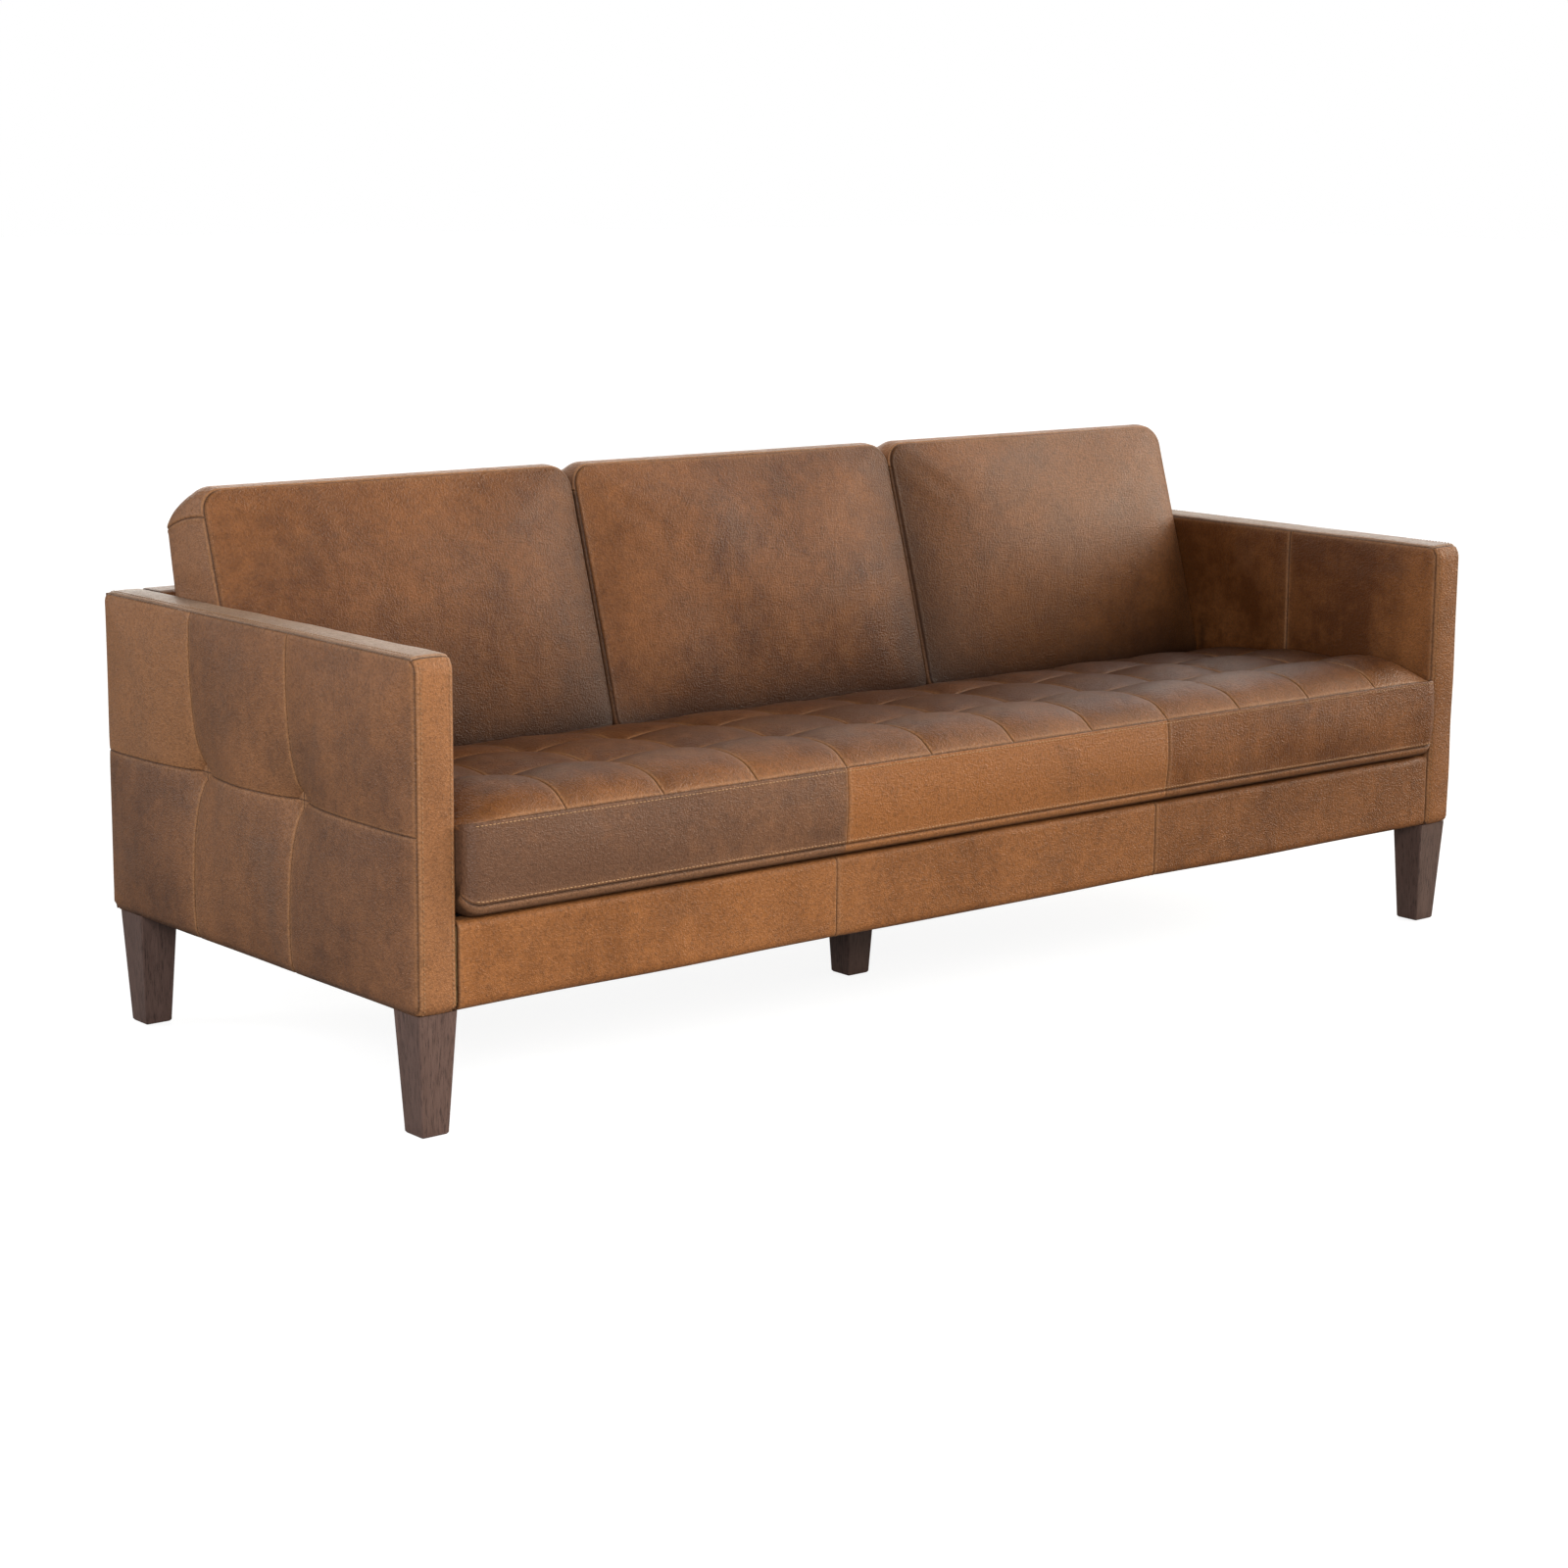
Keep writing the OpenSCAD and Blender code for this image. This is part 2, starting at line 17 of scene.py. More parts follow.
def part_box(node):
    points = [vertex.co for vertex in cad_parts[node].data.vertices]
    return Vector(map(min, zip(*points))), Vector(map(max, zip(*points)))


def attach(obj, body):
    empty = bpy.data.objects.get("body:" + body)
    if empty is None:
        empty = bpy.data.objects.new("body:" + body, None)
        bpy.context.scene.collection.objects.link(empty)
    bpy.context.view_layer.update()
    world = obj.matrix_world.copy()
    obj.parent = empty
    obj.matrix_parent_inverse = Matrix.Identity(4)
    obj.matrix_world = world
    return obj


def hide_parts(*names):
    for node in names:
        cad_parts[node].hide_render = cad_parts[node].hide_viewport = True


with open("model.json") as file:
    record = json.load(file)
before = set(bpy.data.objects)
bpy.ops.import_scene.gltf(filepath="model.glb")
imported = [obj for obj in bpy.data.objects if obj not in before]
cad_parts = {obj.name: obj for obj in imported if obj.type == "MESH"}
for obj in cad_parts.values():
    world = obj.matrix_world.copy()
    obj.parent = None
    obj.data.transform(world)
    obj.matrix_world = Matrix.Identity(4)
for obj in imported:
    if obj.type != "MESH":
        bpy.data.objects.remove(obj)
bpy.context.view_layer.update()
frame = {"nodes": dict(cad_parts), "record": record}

# ---- places, from the frame

BACK, BACK_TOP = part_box("outside_back_cover")
SEAT, SEAT_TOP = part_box("seat_cover")
CUSHION, CUSHION_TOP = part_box("centre_back_cover")
X_OUT, Y_BACK, Z_ARM = BACK_TOP
X_IN, _, Z_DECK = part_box("front_rail_cover")[1]
Y_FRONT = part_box("left_arm_outer_panel")[0].y
Y_REAR = Y_BACK - 0.002
Y_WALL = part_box("back_wall_cover")[0].y
Z_BASE = BACK.z
ARM_R = 0.022
FOOT_R = 0.012
REAR_R = 0.016
EDGE_IN = 0.003

# Tufting lines, and the seams between the three lengths of leather along the sofa
ARM_COLUMNS = (-0.096, 0.174)
ARM_ROW = 0.430
SEAT_PITCH = 2 * X_IN / 12
SEAT_COLUMNS = [SEAT_PITCH * i for i in range(-5, 6)]
SEAT_ROWS = (-0.266, -0.096, 0.074)
PANEL_SEAMS = (-X_IN / 3, X_IN / 3)
Y_CREASE = 0.129


# ---- camera, light, floor

VIEW_AZIMUTH = math.radians(-40.04)
VIEW_ELEVATION = math.radians(10.94)
VIEW_ROLL = math.radians(0.473)
VIEW_LENS = 75.39
VIEW_CENTRE = Vector((0.0, 0.009, 0.4))
# From there, steps to the right, up and back
VIEW_FROM = Vector((-0.0701, -0.0884, 5.4536))

# Name, the way it comes from, strength, width in degrees, colour
FAR_LIGHTS = (
    ("key", (0.93, -0.26, 0.27), 2.7, 38, (1, 0.90, 0.76)),
    ("front", (0.45, -0.72, 0.53), 1.4, 36, (1, 0.94, 0.84)),
    ("rim", (0.48, 0.84, 0.36), 1.2, 40, (1, 0.94, 0.86)),
    ("far_left", (-0.74, 0.58, 0.34), 1.55, 32, (1, 1, 1)),
)
# Name, place, what it points at, size, power
PANEL_LIGHTS = (
    ("left", (-3.0, -3.4, 1.7), (-0.6, 0, 0.45), (2.2, 1.6), 136),
    ("right", (3.0, 0.9, 2.3), (0.3, 0, 0.6), (1.2, 2.2), 24),
)
SKY_LIGHT = 0.03
SKY_SEEN = 1.0
FLOOR_HALF = 40.0
FLOOR_COLOUR = 0.30
FLOOR_GLOW = 0.88


def new_object(name, data):
    obj = bpy.data.objects.new(name, data)
    bpy.context.scene.collection.objects.link(obj)
    return obj


def make_camera():
    turn = Matrix.Rotation(VIEW_AZIMUTH, 4, "Z") @ Matrix.Rotation(math.pi / 2 - VIEW_ELEVATION, 4, "X")
    data = bpy.data.cameras.new("camera")
    data.lens = VIEW_LENS
    data.sensor_width = 36
    camera = new_object("camera", data)
    place = Matrix.Translation(VIEW_CENTRE + turn @ VIEW_FROM)
    camera.matrix_world = place @ turn @ Matrix.Rotation(VIEW_ROLL, 4, "Z")
    bpy.context.scene.camera = camera


def make_light(name, kind, towards, **settings):
    """A light that comes from the way given."""
    data = bpy.data.lights.new(name, kind)
    for key, value in settings.items():
        setattr(data, key, value)
    light = new_object(name, data)
    light.rotation_euler = Vector(towards).to_track_quat("Z", "Y").to_euler()
    return light


def make_sky():
    """White where the camera sees it, and almost dark as a light."""
    world = bpy.data.worlds.new("studio")
    bpy.context.scene.world = world
    world.use_nodes = True
    tree = world.node_tree
    sky = tree.nodes["Background"]
    sky.inputs["Color"].default_value = (1, 1, 1, 1)
    seen = tree.nodes.new("ShaderNodeMapRange")
    seen.inputs["To Min"].default_value = SKY_LIGHT
    seen.inputs["To Max"].default_value = SKY_SEEN
    tree.links.new(tree.nodes.new("ShaderNodeLightPath").outputs["Is Camera Ray"], seen.inputs["Value"])
    tree.links.new(seen.outputs["Result"], sky.inputs["Strength"])


def make_floor():
    """A pale floor that glows a little for the camera only, so that it meets the sky without an edge."""
    n = Nodes("floor_white")
    seen = n.tree.nodes.new("ShaderNodeLightPath").outputs["Is Camera Ray"]
    mesh = bpy.data.meshes.new("floor")
    h = FLOOR_HALF
    mesh.from_pydata([(-h, -h, 0), (h, -h, 0), (h, h, 0), (-h, h, 0)], [], [(0, 1, 2, 3)])
    mesh.materials.append(n.finish(
        Base_Color=(FLOOR_COLOUR, FLOOR_COLOUR, FLOOR_COLOUR, 1), Roughness=0.9, Specular_IOR_Level=0.0,
        Emission_Color=(1, 1, 1, 1), Emission_Strength=n.math("MULTIPLY", seen, FLOOR_GLOW)))
    new_object("floor", mesh)


def make_stage():
    make_sky()
    make_floor()
    for name, towards, strength, width, colour in FAR_LIGHTS:
        make_light(name, "SUN", towards, energy=strength, angle=math.radians(width), color=colour)
    for name, place, aim, (wide, high), power in PANEL_LIGHTS:
        towards = Vector(place) - Vector(aim)
        light = make_light(name, "AREA", towards, shape="RECTANGLE", size=wide, size_y=high, energy=power)
        light.location = place
    bpy.context.scene.view_settings.view_transform = "Standard"


# ---- materials

def srgb(code):
    """A colour written as six hex digits, as linear RGBA."""
    parts = [int(code[i:i + 2], 16) / 255 for i in (0, 2, 4)]
    return [c / 12.92 if c <= 0.04045 else ((c + 0.055) / 1.055) ** 2.4 for c in parts] + [1]


class Nodes:
    """A short way to write a material's node tree."""

    def __init__(self, name):
        self.material = bpy.data.materials.new(name)
        self.material.use_nodes = True
        self.tree = self.material.node_tree
        self.place = self.add("TexCoord", {}, "Object")

    def fill(self, node, inputs):
        """Gives each of a node's inputs its value, or joins it to a socket."""
        for key, value in inputs.items():
            if isinstance(value, bpy.types.NodeSocket):
                self.tree.links.new(value, node.inputs[key])
            else:
                node.inputs[key].default_value = value

    def add(self, kind, inputs, output=0, **settings):
        node = self.tree.nodes.new("ShaderNode" + kind)
        for key, value in settings.items():
            setattr(node, key, value)
        self.fill(node, inputs)
        return node.outputs[output]

    def stretch(self, *scale):
        return self.add("Mapping", {"Vector": self.place, "Scale": scale})

    def noise(self, scale, detail=4, rough=0.55, warp=0.0, vector=None):
        inputs = {"Scale": scale, "Detail": detail, "Roughness": rough, "Distortion": warp}
        return self.add("TexNoise", {"Vector": vector or self.place, **inputs}, "Fac")

    def paint(self, name):
        """A value painted on the mesh."""
        return self.add("Attribute", {}, "Fac", attribute_name=name)

    def math(self, how, a, b, clamp=False):
        return self.add("Math", {0: a, 1: b}, operation=how, use_clamp=clamp)

    def stir(self, value, noise, weight, clamp=False):
        """A value that a noise raises and lowers."""
        swing = self.math("MULTIPLY", self.math("SUBTRACT", noise, 0.5), weight)
        return self.math("ADD", value, swing, clamp)

    def span(self, value, low, high, to_low=0.0, to_high=1.0):
        inputs = {"Value": value, "From Min": low, "From Max": high, "To Min": to_low, "To Max": to_high}
        return self.add("MapRange", inputs, interpolation_type="SMOOTHSTEP")

    def mix(self, share, a, b):
        """Two colours mixed. The Mix node names its colour sockets like others, so they go by number."""
        return self.add("Mix", {0: share, 6: a, 7: b}, 2, data_type="RGBA")

    def bump(self, height, distance, strength, under=None):
        base = {"Normal": under} if under else {}
        return self.add("Bump", {"Distance": distance, "Strength": strength, "Height": height, **base})

    def finish(self, **inputs):
        inputs = {key.replace("_", " "): value for key, value in inputs.items()}
        self.fill(self.tree.nodes["Principled BSDF"], inputs)
        return self.material


HIDE_DARK = (0.100, 0.031, 0.0070, 1)
HIDE_LIGHT = (0.315, 0.120, 0.036, 1)
HIDE_GREY = (0.135, 0.064, 0.034, 1)
# Colour of the painted sheen, a greyish tint standing in for reflected light
HIDE_PAINTED_SHEEN = (0.330, 0.245, 0.190, 1)
HIDE_WORN = (0.39, 0.190, 0.085, 1)
# Colour of the dark seam lines and of painted shade
HIDE_SEAM_AND_SHADE = (0.016, 0.006, 0.003, 1)
HIDE_SPECK = (0.03, 0.012, 0.006, 1)


def leather_material():
    """Waxed, pulled-up hide: mottled browns, paler where it stretches over a seam, with a pebbled grain;
    painted sheen and painted shade are mixed in where the pieces paint them.
    """
    n = Nodes("leather")
    patch = n.noise(8.5, 7, 0.68, 0.4)
    grain = n.noise(225, 2, 0.5)
    tone = n.stir(n.paint("tone"), n.noise(3.1, 3, 0.55, 0.6), 1.1)
    tone = n.stir(tone, patch, 1.0)
    tone = n.stir(tone, n.noise(5.0, 4, 0.6, 0.3, n.stretch(5.5, 5.5, 0.6)), 0.5)
    tone = n.stir(tone, n.noise(46, 4, 0.6), 0.75, True)
    colour = n.mix(tone, HIDE_DARK, HIDE_LIGHT)
    colour = n.mix(n.span(n.noise(5.3, 4, 0.6, 0.8), 0.50, 0.74, 0.0, 0.40), colour, HIDE_GREY)
    # Painted sheen: a greyish tint standing in for reflected light, where the pieces paint it
    colour = n.mix(n.paint("veil"), colour, HIDE_PAINTED_SHEEN)
    colour = n.mix(n.math("MULTIPLY", n.paint("wear"), 0.75), colour, HIDE_WORN)
    # Dark seam lines, and painted shade in gaps, creases, dimples and under parts
    colour = n.mix(n.paint("dark"), colour, HIDE_SEAM_AND_SHADE)
    colour = n.mix(n.stir(0.18, grain, 2.1, True), colour, n.mix(0.55, colour, HIDE_SPECK))
    rough = n.math("ADD", patch, n.math("MULTIPLY", grain, 0.3))
    folds = n.bump(n.noise(38, 3, 0.55, 0.5), 0.0012, 0.4)
    pebbles = n.bump(grain, 0.0014, 0.8, folds)
    pores = n.add("TexVoronoi", {"Vector": n.place, "Scale": 430}, "Distance")
    return n.finish(Base_Color=colour, Roughness=n.span(rough, 0.4, 0.9, 0.36, 0.50), Specular_IOR_Level=0.19,
                    Sheen_Weight=0.01, Sheen_Roughness=0.5, Sheen_Tint=(1.0, 0.93, 0.87, 1),
                    Normal=n.bump(pores, 0.0008, 0.9, pebbles))


def thread_material():
    n = Nodes("thread")
    twist = n.noise(900, 2)
    pale = n.mix(twist, (0.36, 0.19, 0.08, 1), (0.60, 0.37, 0.19, 1))
    deep = n.mix(twist, (0.16, 0.07, 0.03, 1), (0.34, 0.17, 0.07, 1))
    return n.finish(Base_Color=n.mix(n.paint("tone"), deep, pale), Roughness=0.65,
                    Normal=n.bump(twist, 0.0003, 0.6))


def leg_material():
    """Open-grained hardwood under a dark stain, the grain running up the leg."""
    n = Nodes("leg_wood")
    grain = n.noise(16, 6, 0.65, 1.2, n.stretch(5.0, 5.0, 0.45))
    pore = n.noise(110, 3, 0.7, 0.2, n.stretch(4.0, 4.0, 0.35))
    tone = n.math("ADD", n.math("MULTIPLY", grain, 0.75), n.math("MULTIPLY", pore, 0.45), True)
    colour = n.mix(tone, srgb("33241f"), srgb("6e544b"))
    colour = n.mix(n.span(pore, 0.35, 0.48, 0.55, 0.0), colour, srgb("20120e"))
    return n.finish(Base_Color=colour, Roughness=n.span(grain, 0.3, 0.7, 0.42, 0.58),
                    Normal=n.bump(pore, 0.0007, 0.8, n.bump(grain, 0.0005, 0.5)))


def plain_material(name, low, high, scale, stretch, rough, metal=0.0):
    """A quieter material for the pieces inside, grained or woven at the given scale."""
    n = Nodes(name)
    wave = n.noise(scale, 4, 0.6, 0.4, n.stretch(*stretch))
    return n.finish(Base_Color=n.mix(wave, srgb(low), srgb(high)), Metallic=metal,
                    Roughness=n.span(wave, 0.3, 0.7, rough, rough + 0.15), Normal=n.bump(wave, 0.0005, 0.5))


LEATHER = leather_material()
THREAD = thread_material()
EVEN = (1, 1, 1)
SLOT_MATERIALS = {
    "hide": LEATHER,
    "leg_wood": leg_material(),
    "timber": plain_material("timber", "a98254", "d1ac7c", 14, (0.4, 5, 5), 0.6),
    "board": plain_material("board", "93714a", "b99569", 40, EVEN, 0.7),
    "foam": plain_material("foam", "cdbd85", "e2d5a4", 260, EVEN, 0.85),
    "cloth": plain_material("cloth", "121212", "262626", 600, EVEN, 0.85),
    "steel": plain_material("steel", "8b8b8b", "b9b9b9", 90, EVEN, 0.35, 1.0),
    "glide": plain_material("glide", "141414", "222222", 200, EVEN, 0.55),
}


# ---- grids and shaping

def ticks(low, high, seams=(), coarse=0.011, fine=0.0013, reach=0.0045):
    """Stations from low to high. Each seam is one of them, and they crowd together beside it."""
    stops = [low] + sorted(s for s in seams if low + 1e-6 < s < high - 1e-6) + [high]
    out = []
    for a, b in zip(stops, stops[1:]):
        x, span = a, []
        while x < b:
            gap = min([abs(x - s) for s in seams] or [1.0])
            span.append(x)
            x += min(coarse, fine + 0.32 * max(0.0, gap - reach))
        out += [a + (s - a) * (b - a) / (x - a) for s in span]
    return np.array(out + [high])


def grid_faces(rows, columns, start=0, loop=False):
    """Quads of a grid stored row by row; loop joins the last column to the first."""
    i = np.arange(rows * columns).reshape(rows, columns) + start
    i = np.hstack([i, i[:, :1]]) if loop else i
    return np.stack([i[:-1, :-1], i[:-1, 1:], i[1:, 1:], i[1:, :-1]], -1).reshape(-1, 4).tolist()


def tube_faces(rows, columns, start=0):
    """Faces of a grid closed along its columns, with its first and last rings capped."""
    last = start + (rows - 1) * columns
    caps = [list(range(start + columns - 1, start - 1, -1)), list(range(last, last + columns))]
    return grid_faces(rows, columns, start, True) + caps


def slab_faces(rows, columns):
    """Faces of a front grid, a back grid stored after it, and the rim that joins them."""
    i = np.arange(rows * columns).reshape(rows, columns)
    edge = np.concatenate([i[0, :-1], i[:-1, -1], i[-1, :0:-1], i[:0:-1, 0]]).tolist()
    rim = [(a, a + i.size, b + i.size, b) for a, b in zip(edge, edge[1:] + edge[:1])]
    return grid_faces(rows, columns) + turned_over(grid_faces(rows, columns, i.size)) + rim


def turned_over(faces):
    return [f[::-1] for f in faces]


def most(*grids):
    """The highest of several grids, point by point."""
    return functools.reduce(np.maximum, grids)


def xyz(*parts):
    """Points, or rows of values, put together from grids of their parts."""
    return np.stack(np.broadcast_arrays(*parts), -1)


def lattice(rows, columns):
    """The value of each row's station, and of each column's, all over a grid."""
    return np.meshgrid(rows, columns, indexing="ij")


def bell(x, width):
    return np.exp(-(x / width) ** 2)


def near(x, reach):
    """1 at x = 0, fading with distance."""
    return np.exp(-x / reach)


def hump(x):
    """0 at x = 0 and x = 1, and 1 midway."""
    return np.sin(math.pi * x)


def share(x):
    return np.clip(x, 0, 1)


def nearest(x, lines):
    """Distance from each x to the nearest of the lines."""
    return np.min([np.abs(x - s) for s in lines], axis=0)


def pillow(x, lines):
    """0 on each line and 1 between them, with soft shoulders."""
    lines = np.asarray(sorted(lines))
    i = np.clip(np.searchsorted(lines, x) - 1, 0, len(lines) - 2)
    t = share((x - lines[i]) / (lines[i + 1] - lines[i]))
    return 1 - np.abs(2 * t - 1) ** 2.4


def ripple(points, seed, scale):
    """Smooth unevenness in -1..1 that is the same every run."""
    rng = np.random.default_rng(seed)
    total = np.zeros(points.shape[:-1])
    for _ in range(7):
        way = rng.normal(size=3)
        pace = rng.uniform(0.6, 1.7)
        total += np.sin(points @ (way / np.linalg.norm(way)) * scale * pace + rng.uniform(0, 6.28))
    return total / 3.5


def arc(across, up, r, start, end, count):
    """Points on an arc, each with its outward normal."""
    a = np.radians(np.linspace(start, end, count))
    return xyz(across + r * np.cos(a), up + r * np.sin(a), np.cos(a), np.sin(a))


def walked(outline):
    """Distance along an outline to each of its points."""
    return np.concatenate([[0], np.cumsum(np.hypot(*np.diff(outline[:, :2], axis=0).T))])


def rolled(e, reach=0.010, depth=0.004):
    """How far a panel sinks at distance e from its border, as it rolls over to the seam."""
    t = share(1 - e / reach)
    return depth * (1 - np.sqrt(np.maximum(1 - t ** 2, 0)))


def rounded_in(x, r):
    """How far a rounded corner of radius r has drawn in at distance x into it."""
    return r - np.sqrt(np.maximum(r ** 2 - np.clip(x, 0, r) ** 2, 0))


def seam_marks(d):
    """Groove depth, wear and darkness at distance d from a seam: a dark line between pale, raised lips."""
    groove = 0.0018 * bell(d, 0.0013) - 0.0008 * bell(d - 0.0040, 0.0022)
    wear = 0.50 * bell(d - 0.0030, 0.0020) + 0.16 * bell(d, 0.013)
    dark = 0.80 * bell(d, 0.0010)
    return groove, wear, dark


def border_line(d):
    """Darkness of the closed seam round a panel, at distance d from its border."""
    return 0.75 * bell(d, 0.0013)


# ---- cloth simulation

SWELL_FRAMES = 20
SHEET_DEPTH = 0.03
CLOTH_SETTINGS = {
    "quality": 6, "mass": 0.4, "air_damping": 2.0, "tension_stiffness": 25, "compression_stiffness": 25,
    "shear_stiffness": 10, "bending_stiffness": 1.5, "use_pressure": True, "uniform_pressure_force": 4.0,
    "vertex_group_mass": "held",
}


def swell(points, faces, hold, limit):
    """How far cloth under pressure moves each point of a closed coarse form.

    hold is 1 where the leather is sewn down or rests on something, and 0 where it is free.
    """
    flat = points.reshape(-1, 3)
    mesh = bpy.data.meshes.new("swelling")
    mesh.from_pydata(flat.tolist(), [], faces)
    obj = new_object("swelling", mesh)
    scene = bpy.context.scene
    group = obj.vertex_groups.new(name="held")
    levels = np.round(np.ravel(hold), 2)
    for level in np.unique(levels):
        group.add(np.flatnonzero(levels == level).tolist(), float(level), "REPLACE")
    cloth = obj.modifiers.new("cloth", "CLOTH")
    for key, value in CLOTH_SETTINGS.items():
        setattr(cloth.settings, key, value)
    cloth.settings.effector_weights.gravity = 0
    cloth.point_cache.frame_start = 1
    cloth.point_cache.frame_end = SWELL_FRAMES
    for frame_number in range(1, SWELL_FRAMES + 1):
        scene.frame_set(frame_number)
    moved = np.empty(len(flat) * 3, np.float32)
    obj.evaluated_get(bpy.context.evaluated_depsgraph_get()).data.vertices.foreach_get("co", moved)
    shift = moved.reshape(-1, 3).astype(float) - flat
    shift *= np.minimum(1, limit / np.maximum(np.linalg.norm(shift, axis=1, keepdims=True), 1e-9))
    bpy.data.objects.remove(obj)
    bpy.data.meshes.remove(mesh)
    scene.frame_set(1)
    return shift.reshape(points.shape)


def eased(shift, times):
    """Movements with their smallest puckers smoothed away."""
    for _ in range(times):
        wide = np.pad(shift, ((1, 1), (1, 1), (0, 0)), "edge")
        shift = (wide[:-2, 1:-1] + wide[2:, 1:-1] + wide[1:-1, :-2] + wide[1:-1, 2:] + 4 * shift) / 8
    return shift


def swell_sheet(front, inward, hold, limit):
    """Swells one face of a pad: a sheet closed by a held copy of itself a little way inward."""
    points = np.stack([front, front + np.asarray(inward) * SHEET_DEPTH])
    faces = slab_faces(*front.shape[:2])
    row, column = front.shape[0] // 2, front.shape[1] // 2
    across = front[row + 1, column] - front[row, column]
    along = front[row, column + 1] - front[row, column]
    if np.dot(np.cross(along, across), inward) > 0:
        faces = turned_over(faces)
    return eased(swell(points, faces, np.stack([hold, np.ones_like(hold)]), limit)[0], 3)


def hermite(t):
    """Shares of a smooth curve's far end, and of its slopes at its near and far ends, at t from 0 to 1."""
    return t * t * (3 - 2 * t), t * (1 - t) ** 2, t * t * (t - 1)


def cubic(t, m1=0.5, m2=0.5):
    """Steps to four neighbouring stations and their weights, at t between the middle two."""
    far, rise, fall = hermite(t)
    return (-1, -rise * m1), (0, 1 - far - fall * m2), (1, far + rise * m1), (2, fall * m2)


def spread(coarse, fine):
    """Weights that carry values at the coarse stations over to the fine ones along a smooth cubic."""
    n = len(coarse)
    stations = np.concatenate([[2 * coarse[0] - coarse[1]], coarse, [2 * coarse[-1] - coarse[-2]]])
    i = np.clip(np.searchsorted(stations, fine, side="right") - 1, 1, n - 1)
    x0, x1, x2, x3 = (stations[i + d] for d in (-1, 0, 1, 2))
    gap = x2 - x1
    weights = np.zeros((len(fine), n))
    for d, weight in cubic(share((fine - x1) / gap), gap / (x2 - x0), gap / (x3 - x1)):
        np.add.at(weights, (np.arange(len(fine)), np.clip(i + d - 1, 0, n - 1)), weight)
    return weights


def carry(shift, rows, columns):
    """A grid of movements taken from the coarse stations to the fine ones."""
    return np.einsum("ri,ijk,cj->rck", rows, shift, columns)


def sample(shift, us, vs, u, v):
    """A smooth cubic reading, at any points (u, v), of movements kept at even stations us and vs."""
    total, axes = 0, []
    for x, stations in ((u, us), (v, vs)):
        f = (x - stations[0]) / (stations[1] - stations[0])
        i = np.clip(np.floor(f).astype(int), 1, len(stations) - 3)
        axes.append([(i + d, weight) for d, weight in cubic(np.clip(f - i, -1, 2))])
    for i, a in axes[0]:
        for j, b in axes[1]:
            total = total + shift[i, j] * (a * b)[..., None]
    return total


# ---- pieces

# Defaults of the painted attributes: the sheen paint is painted sheen, and the dark paint holds both seam
# lines and painted shade
PLAIN = {"tone": 0.5, "wear": 0.0, "dark": 0.0, "veil": 0.0}


def add_piece(name, points, faces, nodes, slot="hide", material=None, **paint):
    """A mesh object with its painted attributes, riding on the sofa's one body."""
    points = np.asarray(points, float).reshape(-1, 3)
    mesh = bpy.data.meshes.new(name)
    mesh.from_pydata(points.tolist(), [], faces)
    for label, value in {**PLAIN, **paint}.items():
        value = np.ravel(value if label == "tone" else share(value))
        values = np.broadcast_to(value, len(points)).astype(np.float32)
        mesh.attributes.new(label, "FLOAT", "POINT").data.foreach_set("value", values)
    mesh.polygons.foreach_set("use_smooth", [True] * len(mesh.polygons))
    mesh.materials.append(material or SLOT_MATERIALS[slot])
    mesh.update()
    obj = new_object(name, mesh)
    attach(obj, "root")
    if nodes:
        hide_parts(*nodes)
    return obj


def slab(name, front, back, nodes, flip=False, slot="hide", veil=0.0, **paint):
    """A closed slab between a front grid and a back grid of the same size; flip faces it the other way."""
    grid, step = front.shape[:2], -1 if flip else 1
    both = {key: np.tile(np.broadcast_to(value, grid)[:, ::step].ravel(), 2) for key, value in paint.items()}
    points = np.stack([front, back])[:, :, ::step]
    return add_piece(name, points, slab_faces(*grid), nodes, slot, veil=veil, **both)


def follow(outline, s):
    """Depth, height and outward normal at distance s along an outline."""
    y, z, ny, nz = (np.interp(s, walked(outline), column) for column in outline.T)
    size = np.hypot(ny, nz)
    return y, z, ny / size, nz / size


def laid(outline, s, x, height, thick):
    """Front and back grids of leather laid over an outline, at x across the sofa."""
    y, z, ny, nz = follow(outline, s)
    return [xyz(x, y + ny * h, z + nz * h) for h in (height, -thick)]


def lengths(x, *values):
    """The value for whichever of the three lengths of leather lies at x."""
    return np.choose(np.searchsorted(PANEL_SEAMS, x), values)


def unit(vectors):
    return vectors / np.maximum(np.linalg.norm(vectors, axis=-1, keepdims=True), 1e-9)


# ---- stitches

STITCH_SIDES = 6
STITCH_LENGTH = 0.0046
STITCH_GAP = 0.0022
STITCH_R = 0.00055
STITCH_FLAT = 1.3
# Place along a stitch, height and girth of each of its rings
STITCH_RINGS = ((0.0, -0.4, 0.45), (0.22, 0.55, 1.0), (0.78, 0.55, 1.0), (1.0, -0.4, 0.45))


